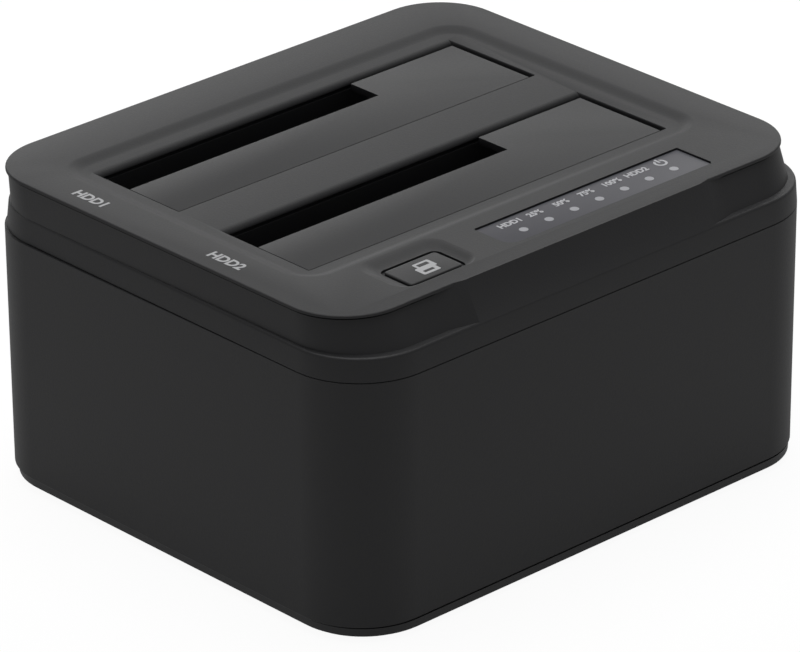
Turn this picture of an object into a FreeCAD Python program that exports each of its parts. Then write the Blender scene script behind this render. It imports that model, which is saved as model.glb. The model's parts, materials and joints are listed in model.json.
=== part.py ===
import FreeCAD, Part
import os
import re
import Sketcher
from FreeCAD import Rotation, Vector

# Two-bay hard-drive dock with an offline clone button, after real units of its kind.
# Millimetres. +X runs along the slots, +Y to the rear (sockets), +Z up.
# The origin is the centre of the footprint, on the surface that the rubber feet stand on.

SIZES = (
    # drive bays, and the fields of case left round them
    ("bay_length", 103.2), ("bay_depth", 27.0), ("bay_spacing", 40.4), ("bay_drop", 56.5),
    ("left_field", 16.6), ("right_field", 18.2), ("rear_field", 22.3), ("front_field", 31.3),
    ("mouth_lip", 0.4), ("mouth_round", 0.7), ("well_wall", 1.6), ("pocket_gap", 0.4),
    ("ear_reach", 6.8), ("ear_width", 7.0), ("ear_thickness", 2.0), ("ear_drop", 3.0),
    # outer case
    ("case_length", "=left_field + bay_length + right_field"),
    ("case_depth", "=rear_field + bay_spacing + bay_depth + front_field"),
    ("case_corner", 17.5), ("wall", 2.2),
    ("foot_proud", 0.8), ("base_edge", 3.0), ("base_gap", 0.3), ("housing_height", 55.4),
    ("seam_gap", 0.4), ("shoulder_height", 5.1), ("crown_height", 8.0),
    ("base_inset", 1.3), ("base_corner", 15.8), ("base_floor", 2.0), ("base_bevel", 0.8),
    ("base_lip", 1.2), ("base_lip_height", 2.0),
    ("housing_taper", 0.9), ("housing_foot_corner", 16.4),
    ("tongue_height", 1.6), ("fit_gap", 0.2),
    # top cover: shoulder, crown with its overhanging lip, brow
    ("ledge_inset", 0.3), ("ledge_bevel", 0.7),
    ("crown_foot_side", 1.3), ("crown_foot_front", 2.2), ("crown_foot_corner", 16.6),
    ("crown_side", 1.7), ("crown_front", 5.9), ("crown_corner", 14.4), ("crown_bevel", 0.4),
    ("lip_side", 1.2), ("lip_front", 5.4), ("lip_height", 1.2),
    ("brow_length", 68.0), ("brow_ramp", 8.0), ("brow_proud", 0.8), ("brow_foot", 0.2),
    ("brow_foot_inset", 0.6),
    # tray recess round the two bays
    ("tray_left_margin", 6.1), ("tray_right_margin", 7.7), ("tray_front_margin", 5.3),
    ("tray_rear_margin", 7.3),
    ("tray_depth", 0.9), ("tray_slope", 1.8), ("tray_corner", 8.0),
    # flap doors
    ("notch_length", 71.2), ("notch_depth", 10.8),
    ("flap_thickness", 1.6), ("flap_front_gap", 0.2), ("flap_rear_gap", 1.9),
    ("flap_left_gap", 0.2), ("flap_right_gap", 1.6), ("fold_gap", 0.2),
    ("hinge_drop", 4.0), ("barrel_diameter", 2.8), ("pin_diameter", 1.5), ("pin_play", 0.05),
    ("rib_thickness", 1.0), ("rib_height", 1.0), ("rib_count", 6), ("long_rib_count", 3),
    ("spring_space", 6.0), ("spring_wire", 0.6), ("spring_turns", 4),
    ("spring_leg", 9.0), ("spring_tail", 0.8),
    # clone button
    ("button_from_left", 33.85), ("button_x", "=button_from_left - case_length / 2"),
    ("button_from_front", 16.2), ("button_y", "=button_from_front - case_depth / 2"),
    ("button_length", 14.4), ("button_width", 8.5),
    ("button_gap", 0.9), ("button_corner", 1.0), ("button_bevel", 0.4), ("button_sunk", 0.7),
    ("button_flange", 1.3), ("button_flange_thickness", 1.0), ("flange_gap", 0.3),
    ("dish_depth", 0.9), ("dish_rear", 4.2), ("dish_side", 3.2), ("dish_front", 0.9),
    ("dish_corner", 4.0), ("dish_floor_corner", 2.0),
    # indicator strip
    ("window_from_right", 54.9), ("window_x", "=case_length / 2 - window_from_right"),
    ("window_from_front", 16.3), ("window_y", "=window_from_front - case_depth / 2"),
    ("window_length", 59.2), ("window_width", 10.4),
    ("window_gap", 0.25), ("window_sunk", 0.35), ("window_thickness", 0.8),
    ("window_rear_corner", 0.8), ("window_front_corner", 2.6),
    ("light_shift", 0.05), ("lights_from_front", 14.9),
    ("light_y", "=lights_from_front - case_depth / 2"), ("light_spacing", 7.35),
    ("light_count", 7), ("guide_length", 2.4), ("guide_width", 1.6), ("guide_gap", 0.2),
    ("panel_drop", 6.5), ("panel_thickness", 1.2), ("panel_margin", 7.2),
    ("panel_from_front", 7.5), ("panel_set_back", 9.4), ("panel_screw_inset", 2.9),
    ("led_length", 1.6), ("led_width", 0.8), ("led_height", 0.7),
    ("tact_size", 6.2), ("tact_height", 3.5), ("plunger_diameter", 3.4), ("plunger_gap", 0.1),
    ("plunger_proud", 1.2), ("plunger_sunk", 1.5), ("bore_depth", 2.3), ("nub_diameter", 3.0),
    # posts and screws
    ("pillar_inset_side", 11.5), ("pillar_x", "=case_length / 2 - pillar_inset_side"),
    ("pillar_inset_front", 13.0), ("pillar_y", "=case_depth / 2 - pillar_inset_front"),
    ("pillar_width", 6.0), ("pillar_seat", 2.6), ("peg_width", 3.0), ("peg_length", 3.0),
    ("peg_gap", 0.1),
    ("case_screw", 2.6), ("case_screw_length", 14.0), ("case_head", 5.6),
    ("case_head_height", 1.6), ("head_gap", 0.3), ("counterbore", 2.4),
    ("small_screw", 1.8), ("small_screw_length", 6.0), ("small_head", 3.4),
    ("small_head_height", 1.2), ("small_post", 5.0),
    ("foot_diameter", 10.0), ("foot_recess", 1.0), ("foot_inset_side", 19.0),
    ("foot_x", "=case_length / 2 - foot_inset_side"), ("foot_inset_front", 19.5),
    ("foot_y", "=case_depth / 2 - foot_inset_front"),
    # main board
    ("board_standoff", 6.6), ("board_thickness", 1.6), ("board_from_side", 15.5),
    ("board_length", "=case_length - 2 * board_from_side"), ("board_from_front", 8.5),
    ("board_front", "=board_from_front - case_depth / 2"),
    ("board_screw_inset", 4.5), ("board_screw_x", "=board_length / 2 - board_screw_inset"),
    ("board_gap", 0.3),
    ("chip_x", 4.0), ("chip_y", 8.0), ("bridge_size", 9.0), ("bridge_height", 1.2),
    ("flash_length", 5.2), ("flash_width", 4.0), ("flash_height", 1.5), ("crystal_length", 5.0),
    ("crystal_width", 3.2),
    ("crystal_height", 1.1), ("inductor_size", 7.0), ("inductor_height", 4.0),
    ("inductor_spacing", 12.0), ("capacitor_diameter", 6.3), ("capacitor_height", 7.7),
    ("capacitor_spacing", 9.0), ("capacitor_count", 3), ("capacitor_x", -40.0),
    ("row_from_front", 16.5), ("row_y", "=row_from_front - case_depth / 2"),
    ("inductor_x", -10.0),
    # drive receptacles
    ("sata_length", 42.0), ("sata_width", 6.2), ("sata_height", 10.5), ("sata_from_left", 4.0),
    ("sata_from_rear", 3.9), ("sata_gap", 0.4), ("sata_slot_width", 1.7), ("sata_slot_depth", 5.0),
    ("signal_slot", 10.4), ("power_slot", 20.7), ("slot_key", 1.3), ("slot_divider", 2.4),
    ("contact_spacing", 1.27), ("contact_width", 0.6), ("contact_thickness", 0.3),
    ("contact_height", 4.2), ("signal_contacts", 7), ("power_contacts", 15),
    # rear sockets
    ("port_recess", 3.1), ("port_left", -32.0), ("port_right", 44.0), ("port_top", 27.6),
    ("port_corner", 1.5), ("port_gap", 0.3),
    ("usb_x", 11.0), ("usb_width", 12.0), ("usb_height", 12.4), ("usb_depth", 16.5),
    ("usb_skin", 0.4), ("usb_lower_width", 8.5), ("usb_lower_height", 7.2),
    ("usb_upper_width", 6.0), ("usb_upper_height", 3.0), ("usb_floor", 0.6),
    ("usb_mouth_depth", 9.5), ("usb_tongue_width", 5.6), ("usb_tongue_height", 3.2),
    ("usb_tongue_set_back", 1.2),
    ("jack_x", 33.0), ("jack_width", 9.0), ("jack_height", 11.0), ("jack_depth", 12.0),
    ("jack_collar", 8.0), ("jack_bore", 6.3), ("jack_bore_depth", 9.5), ("jack_pin", 2.0),
    ("switch_x", -18.0), ("switch_z", 19.2), ("switch_bezel_length", 15.0),
    ("switch_bezel_height", 10.6), ("switch_bezel_thickness", 1.5), ("switch_body_length", 12.8),
    ("switch_body_height", 8.6), ("switch_body_depth", 9.5), ("switch_skin", 0.9),
    ("rocker_length", 9.8), ("rocker_height", 6.2), ("rocker_pivot_set_back", 0.2),
    ("rocker_waist", 0.9), ("rocker_horn", 1.0), ("rocker_depth", 2.6), ("rocker_tilt", 10.0),
    ("rocker_hub", 1.6), ("terminal_spacing", 5.0), ("terminal_thickness", 0.8),
    ("terminal_width", 3.0), ("terminal_length", 3.0), ("lead_thickness", 1.3),
    ("lead_width", 2.0), ("lead_reach", 2.0),
    # board-to-board ribbon
    ("ribbon_x", 22.0), ("ribbon_width", 18.0), ("ribbon_thickness", 0.6),
    ("ribbon_bow", 5.0),
    ("header_length", 20.0), ("header_width", 3.6), ("header_height", 3.0),
)
NAMES = {name for name, value in SIZES}

# Levels, from the standing surface up.
BASE_TOP = "(foot_proud + base_edge)"
BASE_FLOOR = "(foot_proud + base_floor)"
HOUSING_BOTTOM = f"({BASE_TOP} + base_gap)"
HOUSING_TOP = f"({HOUSING_BOTTOM} + housing_height)"
COVER_BOTTOM = f"({HOUSING_TOP} + seam_gap)"
LEDGE = f"({COVER_BOTTOM} + shoulder_height)"
TOP = f"({LEDGE} + crown_height)"
TRAY = f"({TOP} - tray_depth)"
CEILING = f"({TRAY} - wall)"
PILLAR_BOTTOM = f"({BASE_FLOOR} + pillar_seat)"
BOARD_BOTTOM = f"({BASE_FLOOR} + board_standoff)"
BOARD_TOP = f"({BOARD_BOTTOM} + board_thickness)"
PANEL_TOP = f"({CEILING} - panel_drop)"
PANEL_BOTTOM = f"({PANEL_TOP} - panel_thickness)"
TACT_TOP = f"({PANEL_TOP} + tact_height)"
PLUNGER_TOP = f"({TACT_TOP} + plunger_proud)"
FLANGE_TOP = f"({CEILING} - flange_gap)"
FLANGE_BOTTOM = f"({FLANGE_TOP} - button_flange_thickness)"
WINDOW_FLOOR = f"({TOP} - window_sunk - window_thickness)"
# Places across the case.
BAY_LEFT = "(left_field - case_length / 2)"
BAY_REARS = tuple(f"(case_depth / 2 - rear_field - {bay} * bay_spacing)" for bay in range(2))
PORT_PLANE = "(case_depth / 2 - port_recess)"
PORT_BACK = f"({PORT_PLANE} - wall)"
PORT_BOTTOM = f"({HOUSING_BOTTOM} + base_lip_height + base_gap + wall)"
BOARD_REAR = f"({PORT_BACK} - board_gap)"
# Places in a bay's own frame: x from its left wall, y from its rear wall, z from the tray.
HINGE_Y = "(-bay_depth - fold_gap - hinge_drop)"
HINGE_Z = "(-hinge_drop)"
FLAP_FRONT = "(-bay_depth + mouth_lip + flap_front_gap)"
FLAP_REACH = f"(-flap_rear_gap - {HINGE_Y})"
POCKET_FRONT = f"({HINGE_Y} - barrel_diameter / 2 - pocket_gap)"
POCKET_BOTTOM = f"({HINGE_Z} - {FLAP_REACH} - pocket_gap)"
EAR_LEVEL = "(-wall - ear_drop)"
SATA_BASE = f"({BOARD_TOP} - {TRAY})"
COIL_RADIUS = "(hinge_drop - flap_thickness - rib_height - spring_wire / 2)"

doc = FreeCAD.newDocument("drive_duplicator")
sheet = doc.addObject("Spreadsheet::Sheet", "Sizes")
for row, (alias, value) in enumerate(SIZES, start=1):
    sheet.set(f"A{row}", alias)
    sheet.setAlias(f"B{row}", alias)
for row, (alias, value) in enumerate(SIZES, start=1):
    sheet.set(f"B{row}", str(value))
doc.recompute()

finished = []


def bind(text):
    """An expression on the sheet's sizes, as another object writes it."""
    return re.sub(r"[a-z]\w*", lambda m: f"Sizes.{m[0]}" if m[0] in NAMES else m[0], text)


def number(text):
    return float(sheet.evalExpression(text))


def finish(thing, label):
    """Name a finished sub-part and list it for export."""
    thing.Label = label
    finished.append(thing)
    return thing


def place(thing, x="0", y="0", z="0"):
    for axis, text in zip("xyz", (x, y, z)):
        thing.setExpression(f"Placement.Base.{axis}", bind(text))


# ---------------------------------------------------------------- sketches and features

def start_body(label):
    return doc.addObject("PartDesign::Body", f"{label}_body")


def sketch_on(body, role, offset="0"):
    """A sketch on one of the body's own origin planes, moved along that plane's normal."""
    sketch = body.newObject("Sketcher::SketchObject", "Outline")
    plane = next(item for item in body.Origin.OriginFeatures if item.Role == role)
    sketch.AttachmentSupport = [(plane, "")]
    sketch.MapMode = "FlatFace"
    sketch.setExpression("AttachmentOffset.Base.z", bind(offset))
    return sketch


def pin_point(sketch, edge, end, x=None, y=None):
    """Tie one end of an edge to expressions, measured from the sketch's origin."""
    for kind, text in (("DistanceX", x), ("DistanceY", y)):
        if text is not None:
            rule = sketch.addConstraint(Sketcher.Constraint(kind, -1, 1, edge, end, number(text)))
            sketch.setExpression(f"Constraints[{rule}]", bind(text))


def add_polygon(sketch, points):
    """A closed outline through (x, y) expressions."""
    spots = [Vector(number(x), number(y), 0) for x, y in points]
    count = len(spots)
    first = sketch.GeometryCount
    for i in range(count):
        sketch.addGeometry(Part.LineSegment(spots[i], spots[(i + 1) % count]), False)
    for i in range(count):
        after = first + (i + 1) % count
        sketch.addConstraint(Sketcher.Constraint("Coincident", first + i, 2, after, 1))
    for i, (x, y) in enumerate(points):
        pin_point(sketch, first + i, 1, x, y)


def add_rectangle(sketch, left, right, low, high):
    add_polygon(sketch, ((left, low), (right, low), (right, high), (left, high)))


def add_centred(sketch, x, y, length, width):
    add_rectangle(sketch, f"{x} - ({length}) / 2", f"{x} + ({length}) / 2",
                  f"{y} - ({width}) / 2", f"{y} + ({width}) / 2")


def add_circle(sketch, x, y, diameter):
    spot = Vector(number(x), number(y), 0)
    edge = sketch.addGeometry(Part.Circle(spot, Vector(0, 0, 1), number(diameter) / 2), False)
    rule = sketch.addConstraint(Sketcher.Constraint("Diameter", edge, number(diameter)))
    sketch.setExpression(f"Constraints[{rule}]", bind(diameter))
    pin_point(sketch, edge, 3, x, y)


def add_rounded(sketch, left, right, low, high, radius, high_radius=None):
    """A rectangle with round corners; the corners on the high side may differ."""
    x0, x1, y0, y1 = (number(text) for text in (left, right, low, high))
    radii = (radius, high_radius or radius, high_radius or radius, radius)
    r = [number(text) for text in radii]
    corners = ((x1 - r[0], y0 + r[0], -90), (x1 - r[1], y1 - r[1], 0),
               (x0 + r[2], y1 - r[2], 90), (x0 + r[3], y0 + r[3], 180))
    first = sketch.GeometryCount
    ends = []
    for (cx, cy, angle), size in zip(corners, r):
        start = Vector(size, 0, 0)
        turn = Rotation(Vector(0, 0, 1), angle)
        further = Rotation(Vector(0, 0, 1), angle + 90)
        middle = Rotation(Vector(0, 0, 1), angle + 45)
        centre = Vector(cx, cy, 0)
        points = [centre + spin.multVec(start) for spin in (turn, middle, further)]
        sketch.addGeometry(Part.Arc(*points), False)
        ends.append((points[0], points[2]))
    for i in range(4):
        sketch.addGeometry(Part.LineSegment(ends[i][1], ends[(i + 1) % 4][0]), False)
    for i in range(4):
        line = first + 4 + i
        sketch.addConstraint(Sketcher.Constraint("Tangent", first + i, 2, line, 1))
        sketch.addConstraint(Sketcher.Constraint("Tangent", line, 2, first + (i + 1) % 4, 1))
        rule = sketch.addConstraint(Sketcher.Constraint("Radius", first + i, r[i]))
        sketch.setExpression(f"Constraints[{rule}]", bind(radii[i]))
    for i, direction in enumerate(("Vertical", "Horizontal", "Vertical", "Horizontal")):
        sketch.addConstraint(Sketcher.Constraint(direction, first + 4 + i))
    for i, (x, y) in enumerate(((right, None), (None, high), (left, None), (None, low))):
        pin_point(sketch, first + 4 + i, 1, x, y)


def case_outline(body, level, side, front, rear, corner):
    """The case's rounded outline at a level, set in from the overall size on each side."""
    sketch = sketch_on(body, "XY_Plane", level)
    add_rounded(sketch, f"{side} - case_length / 2", f"case_length / 2 - ({side})",
                f"{front} - case_depth / 2", f"case_depth / 2 - ({rear})", corner)
    return sketch


def pad(body, sketch, length, back=False):
    feature = body.newObject("PartDesign::Pad", "Pad")
    feature.Profile = sketch
    feature.Reversed = back
    feature.setExpression("Length", bind(length))
    doc.recompute()
    return feature


def cut(body, sketch, depth, forward=False):
    """Pocket against the sketch's normal, or along it when forward."""
    before = body.Shape.Volume
    feature = body.newObject("PartDesign::Pocket", "Pocket")
    feature.Profile = sketch
    feature.Reversed = forward
    feature.setExpression("Length", bind(depth))
    doc.recompute()
    if body.Shape.Volume > before - 1e-3:
        raise ValueError(f"a pocket of {body.Name} cuts nothing")
    return feature


def loft(body, lower, upper, remove=False):
    kind = "PartDesign::SubtractiveLoft" if remove else "PartDesign::AdditiveLoft"
    feature = body.newObject(kind, "Loft")
    feature.Profile = lower
    feature.Sections = [upper]
    feature.Ruled = True
    doc.recompute()
    return feature


def revolve(body, sketch):
    """A full turn round the sketch's horizontal axis."""
    feature = body.newObject("PartDesign::Revolution", "Revolution")
    feature.Profile = sketch
    feature.ReferenceAxis = (sketch, ["H_Axis"])
    feature.Angle = 360
    doc.recompute()
    return feature


def repeat(body, feature, sketch, spacing, count):
    """Copies of a feature along the sketch's horizontal axis."""
    pattern = body.newObject("PartDesign::LinearPattern", "Pattern")
    pattern.Originals = [feature]
    pattern.Direction = (sketch, ["H_Axis"])
    pattern.setExpression("Length", bind(f"({spacing}) * (({count}) - 1)"))
    pattern.setExpression("Occurrences", bind(count))
    body.Tip = pattern
    doc.recompute()
    return pattern


def round_edges(body, radius, wanted):
    """Fillet the edges of the body whose middle and box pass a test."""
    names = [f"Edge{i}" for i, edge in enumerate(body.Shape.Edges, start=1) if wanted(edge)]
    if not names:
        raise ValueError(f"no edge of {body.Name} to round")
    base = body.Tip
    feature = body.newObject("PartDesign::Fillet", "Fillet")
    feature.Base = (base, names)
    feature.setExpression("Radius", bind(radius))
    doc.recompute()
    return feature


def at_level(edge, level):
    box = edge.BoundBox
    return abs(box.ZMin - level) < 1e-4 and abs(box.ZMax - level) < 1e-4


# ---------------------------------------------------------------- primitives

def block(x0, x1, y0, y1, z0, z1):
    solid = doc.addObject("Part::Box", "Block")
    solid.setExpression("Length", bind(f"({x1}) - ({x0})"))
    solid.setExpression("Width", bind(f"({y1}) - ({y0})"))
    solid.setExpression("Height", bind(f"({z1}) - ({z0})"))
    place(solid, x0, y0, z0)
    return solid


def centred_block(x, y, length, width, z0, z1):
    return block(f"{x} - ({length}) / 2", f"{x} + ({length}) / 2",
                 f"{y} - ({width}) / 2", f"{y} + ({width}) / 2", z0, z1)


def rod(x, y, z, diameter, length, along="Z"):
    """A round bar from a point: up, along +X, or along -Y (inward from the rear)."""
    solid = doc.addObject("Part::Cylinder", "Rod")
    solid.setExpression("Radius", bind(f"({diameter}) / 2"))
    solid.setExpression("Height", bind(length))
    if along != "Z":
        axis = Vector(0, 1, 0) if along == "X" else Vector(1, 0, 0)
        solid.Placement.Rotation = Rotation(axis, 90)
    place(solid, x, y, z)
    return solid


def prism(x, y, z, width, length):
    """An upright twelve-sided bar, which stands for the round parts of the small screws."""
    solid = doc.addObject("Part::Prism", "Prism")
    solid.Polygon = 12
    solid.setExpression("Circumradius", bind(f"({width}) / 2"))
    solid.setExpression("Height", bind(length))
    place(solid, x, y, z)
    return solid


def join(*solids):
    union = doc.addObject("Part::MultiFuse", "Union")
    union.Shapes = list(solids)
    return union


def subtract(base, tool):
    difference = doc.addObject("Part::Cut", "Difference")
    difference.Base = base
    difference.Tool = tool
    return difference


def group(solids):
    """Separate solids that share one node, such as a set of screws."""
    together = doc.addObject("Part::Compound", "Group")
    together.Links = list(solids)
    return together


def screw(x, y, head_bottom, shank, length, head, head_height, up=True):
    """A pan-head screw whose shank points up from its head, or down from it."""
    shank_start = f"({head_bottom}) + ({head_height})" if up else f"({head_bottom}) - ({length})"
    return join(prism(x, y, head_bottom, head, head_height),
                prism(x, y, shank_start, shank, length))


# ---------------------------------------------------------------- top cover
cover = start_body("top_cover")
shoulder_foot = case_outline(cover, COVER_BOTTOM, "0", "0", "0", "case_corner")
shoulder_top = case_outline(cover, f"{LEDGE} - ledge_bevel", "ledge_inset", "ledge_inset",
                            "ledge_inset", "case_corner - ledge_inset")
loft(cover, shoulder_foot, shoulder_top)
BEVELLED = "(ledge_inset + ledge_bevel)"
ledge = case_outline(cover, LEDGE, BEVELLED, BEVELLED, BEVELLED, f"case_corner - {BEVELLED}")
loft(cover, shoulder_top, ledge)
crown_foot = case_outline(
    cover, LEDGE, "crown_foot_side", "crown_foot_front", "crown_foot_side", "crown_foot_corner")
crown_top = case_outline(cover, f"{TOP} - lip_height", "crown_side", "crown_front", "crown_side",
                         "crown_corner")
loft(cover, crown_foot, crown_top)


def lip_outline(level, inset):
    """The crown's lip overhangs its wall all round."""
    return case_outline(cover, level, f"lip_side + {inset}", f"lip_front + {inset}",
                        f"lip_side + {inset}", f"crown_corner + crown_bevel - {inset}")


pad(cover, lip_outline(f"{TOP} - lip_height", "0"), "lip_height - crown_bevel")
loft(cover, lip_outline(f"{TOP} - crown_bevel", "0"), lip_outline(TOP, "crown_bevel"))


def brow_outline(level, face_inset, root_inset):
    sketch = sketch_on(cover, "XY_Plane", level)
    half, end = "brow_length / 2", "(brow_length / 2 + brow_ramp)"
    face, root = f"{face_inset} - case_depth / 2", f"{root_inset} - case_depth / 2"
    add_polygon(sketch, ((f"-{half}", face), (half, face), (end, root), (f"-{end}", root)))
    return sketch


brow_foot = brow_outline(f"{LEDGE} - brow_foot", "brow_foot_inset", "crown_foot_front")
brow_top = brow_outline(TOP, "crown_front - brow_proud", "crown_front + brow_proud")
loft(cover, brow_foot, brow_top)

cavity_foot = case_outline(cover, COVER_BOTTOM, "wall", "wall", "wall", "case_corner - wall")
cavity_top = case_outline(
    cover, CEILING, "crown_side + wall", "crown_foot_front + 2 * wall", "crown_side + wall",
    "crown_corner - wall")
loft(cover, cavity_foot, cavity_top, remove=True)
groove = case_outline(
    cover, COVER_BOTTOM, "wall / 2", "wall / 2", "wall / 2", "case_corner - wall / 2")
cut(cover, groove, "tongue_height - seam_gap", forward=True)


def tray_outline(level, inset):
    sketch = sketch_on(cover, "XY_Plane", level)
    add_rounded(sketch, f"{BAY_LEFT} - tray_left_margin + {inset}",
                f"{BAY_LEFT} + bay_length + tray_right_margin - {inset}",
                f"{BAY_REARS[1]} - bay_depth - tray_front_margin + {inset}",
                f"{BAY_REARS[0]} + tray_rear_margin - {inset}", f"tray_corner - {inset}")
    return sketch


loft(cover, tray_outline(TRAY, "tray_slope"), tray_outline(TOP, "0"), remove=True)

mouths = sketch_on(cover, "XY_Plane", TRAY)
for rear in BAY_REARS:
    add_rectangle(mouths, BAY_LEFT, f"{BAY_LEFT} + bay_length",
                  f"{rear} - bay_depth + mouth_lip", rear)
cut(cover, mouths, "2 * wall")


def is_mouth_edge(edge):
    """Top edges of the mouths at the rear and the ends; the flap doors close the front ones."""
    rear = edge.BoundBox.YMax
    return at_level(edge, number(TRAY)) and any(abs(rear - number(y)) < 1e-3 for y in BAY_REARS)


round_edges(cover, "mouth_round", is_mouth_edge)


def button_outline(body, level, grow, corner):
    sketch = sketch_on(body, "XY_Plane", level)
    add_rounded(sketch, f"button_x - button_length / 2 - ({grow})",
                f"button_x + button_length / 2 + ({grow})",
                f"button_y - button_width / 2 - ({grow})",
                f"button_y + button_width / 2 + ({grow})", corner)
    return sketch


dish_floor = button_outline(cover, f"{TOP} - dish_depth", "button_gap + fit_gap", "dish_floor_corner")
dish_rim = sketch_on(cover, "XY_Plane", TOP)
add_rounded(dish_rim, "button_x - button_length / 2 - button_gap - dish_side",
            "button_x + button_length / 2 + button_gap + dish_side",
            "button_y - button_width / 2 - button_gap - dish_front",
            "button_y + button_width / 2 + button_gap + dish_rear", "dish_corner")
loft(cover, dish_floor, dish_rim, remove=True)
cut(cover, button_outline(cover, TOP, "button_gap", "button_corner + button_gap"), "2 * wall")


def window_outline(body, level, grow):
    sketch = sketch_on(body, "XY_Plane", level)
    add_rounded(sketch, f"window_x - window_length / 2 - {grow}",
                f"window_x + window_length / 2 + {grow}",
                f"window_y - window_width / 2 - {grow}", f"window_y + window_width / 2 + {grow}",
                f"window_front_corner + {grow}", f"window_rear_corner + {grow}")
    return sketch


cut(cover, window_outline(cover, TOP, "window_gap"), "window_sunk + window_thickness")
FIRST_LIGHT = "(window_x + light_shift - light_spacing * (light_count - 1) / 2)"
bores = sketch_on(cover, "XY_Plane", WINDOW_FLOOR)
add_centred(bores, FIRST_LIGHT, "light_y", "guide_length + 2 * guide_gap",
            "guide_width + 2 * guide_gap")
first_bore = cut(cover, bores, "2 * wall")
repeat(cover, first_bore, bores, "light_spacing", "light_count")

# Square pegs key the corner pillars; square posts take the screws of what hangs below.
SIDES = (-1, 1)
CORNERS = tuple((sx, sy) for sx in SIDES for sy in SIDES)
POST_ROOT = f"({CEILING} + wall / 4)"
pegs = sketch_on(cover, "XY_Plane", POST_ROOT)
for sx, sy in CORNERS:
    add_centred(pegs, f"{sx} * pillar_x", f"{sy} * pillar_y", "peg_width", "peg_width")
pad(cover, pegs, f"{POST_ROOT} - {CEILING} + peg_length", back=True)
PANEL_LEFT = "(button_x - button_length / 2 - panel_margin)"
PANEL_RIGHT = "(window_x + window_length / 2 + panel_margin)"
PANEL_SCREWS = (f"({PANEL_LEFT} + panel_screw_inset)", f"({PANEL_RIGHT} - panel_screw_inset)")
short_posts = sketch_on(cover, "XY_Plane", POST_ROOT)
for x in PANEL_SCREWS:
    add_centred(short_posts, x, "light_y", "small_post", "small_post")
pad(cover, short_posts, f"{POST_ROOT} - {PANEL_TOP}", back=True)


def ear_spot(side):
    """Centre of a well's left (0) or right (1) ear, in the bay's frame."""
    reach = "(well_wall + ear_reach / 2)"
    return f"(bay_length + {reach})" if side else f"(-{reach})", "(-bay_depth / 2)"


ear_posts = sketch_on(cover, "XY_Plane", POST_ROOT)
ear_pilots = sketch_on(cover, "XY_Plane", f"{TRAY} + {EAR_LEVEL}")
for rear in BAY_REARS:
    for side in range(2):
        x, y = ear_spot(side)
        spot = (f"{BAY_LEFT} + {x}", f"{rear} + {y}")
        add_centred(ear_posts, *spot, "small_post", "small_post")
        add_circle(ear_pilots, *spot, "small_screw")
pad(cover, ear_posts, f"{POST_ROOT} - {TRAY} - {EAR_LEVEL}", back=True)
cut(cover, ear_pilots, "small_screw_length - ear_thickness + fit_gap", forward=True)
panel_pilots = sketch_on(cover, "XY_Plane", PANEL_TOP)
for x in PANEL_SCREWS:
    add_circle(panel_pilots, x, "light_y", "small_screw")
cut(cover, panel_pilots, "small_screw_length - panel_thickness + fit_gap", forward=True)
finish(cover, "top_cover")


def pillar(x, y):
    """A corner pillar: keyed on the cover's peg above, with a screw's pilot hole below."""
    bar = centred_block(x, y, "pillar_width", "pillar_width", PILLAR_BOTTOM, CEILING)
    pilot = rod(x, y, PILLAR_BOTTOM, "case_screw", "case_screw_length")
    key = centred_block(x, y, "peg_width + 2 * peg_gap", "peg_width + 2 * peg_gap",
                        f"{CEILING} - peg_length - peg_gap", CEILING)
    return subtract(bar, join(pilot, key))


finish(group(pillar(f"{sx} * pillar_x", f"{sy} * pillar_y") for sx, sy in CORNERS),
       "case_pillars")

# ---------------------------------------------------------------- housing
housing = start_body("housing")
housing_foot = case_outline(housing, HOUSING_BOTTOM, "housing_taper", "housing_taper",
                            "housing_taper", "housing_foot_corner")
housing_top = case_outline(housing, HOUSING_TOP, "0", "0", "0", "case_corner")
loft(housing, housing_foot, housing_top)
TAPERED = "(housing_taper + wall)"
hollow_foot = case_outline(housing, HOUSING_BOTTOM, TAPERED, TAPERED, TAPERED,
                           "housing_foot_corner - wall")
hollow_top = case_outline(housing, HOUSING_TOP, "wall", "wall", "wall", "case_corner - wall")
loft(housing, hollow_foot, hollow_top, remove=True)

TONGUE_FACE = "(wall / 2 + fit_gap)"
tongue = case_outline(housing, HOUSING_TOP, TONGUE_FACE, TONGUE_FACE, TONGUE_FACE,
                      f"case_corner - {TONGUE_FACE}")
add_rounded(tongue, "wall - case_length / 2", "case_length / 2 - wall",
            "wall - case_depth / 2", "case_depth / 2 - wall", "case_corner - wall")
pad(housing, tongue, "tongue_height")

# The sockets sit in a shallow recess of the rear wall, which is carried further in there.
thickening = sketch_on(housing, "XZ_Plane", f"-{PORT_BACK}")
add_rectangle(thickening, "port_left - wall", "port_right + wall",
              f"{PORT_BOTTOM} - wall", "port_top + wall")
pad(housing, thickening, "port_recess", back=True)
recess = sketch_on(housing, "XZ_Plane", "-case_depth / 2")
add_rounded(recess, "port_left", "port_right", PORT_BOTTOM, "port_top", "port_corner")
cut(housing, recess, "port_recess", forward=True)
ports = sketch_on(housing, "XZ_Plane", f"-{PORT_PLANE}")
add_rectangle(ports, "usb_x - usb_width / 2 - port_gap", "usb_x + usb_width / 2 + port_gap",
              f"{BOARD_TOP} - port_gap", f"{BOARD_TOP} + usb_height + port_gap")
add_rectangle(ports, "switch_x - switch_body_length / 2 - port_gap",
              "switch_x + switch_body_length / 2 + port_gap",
              "switch_z - switch_body_height / 2 - port_gap",
              "switch_z + switch_body_height / 2 + port_gap")
add_circle(ports, "jack_x", f"{BOARD_TOP} + jack_height / 2", "jack_collar + 2 * port_gap")
cut(housing, ports, "2 * wall", forward=True)
finish(housing, "housing")

# ---------------------------------------------------------------- base plate and feet
base = start_body("base_plate")


def slab_outline(level, inset):
    edge = f"base_inset + {inset}"
    return case_outline(base, level, edge, edge, edge, f"base_corner - {inset}")


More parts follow.
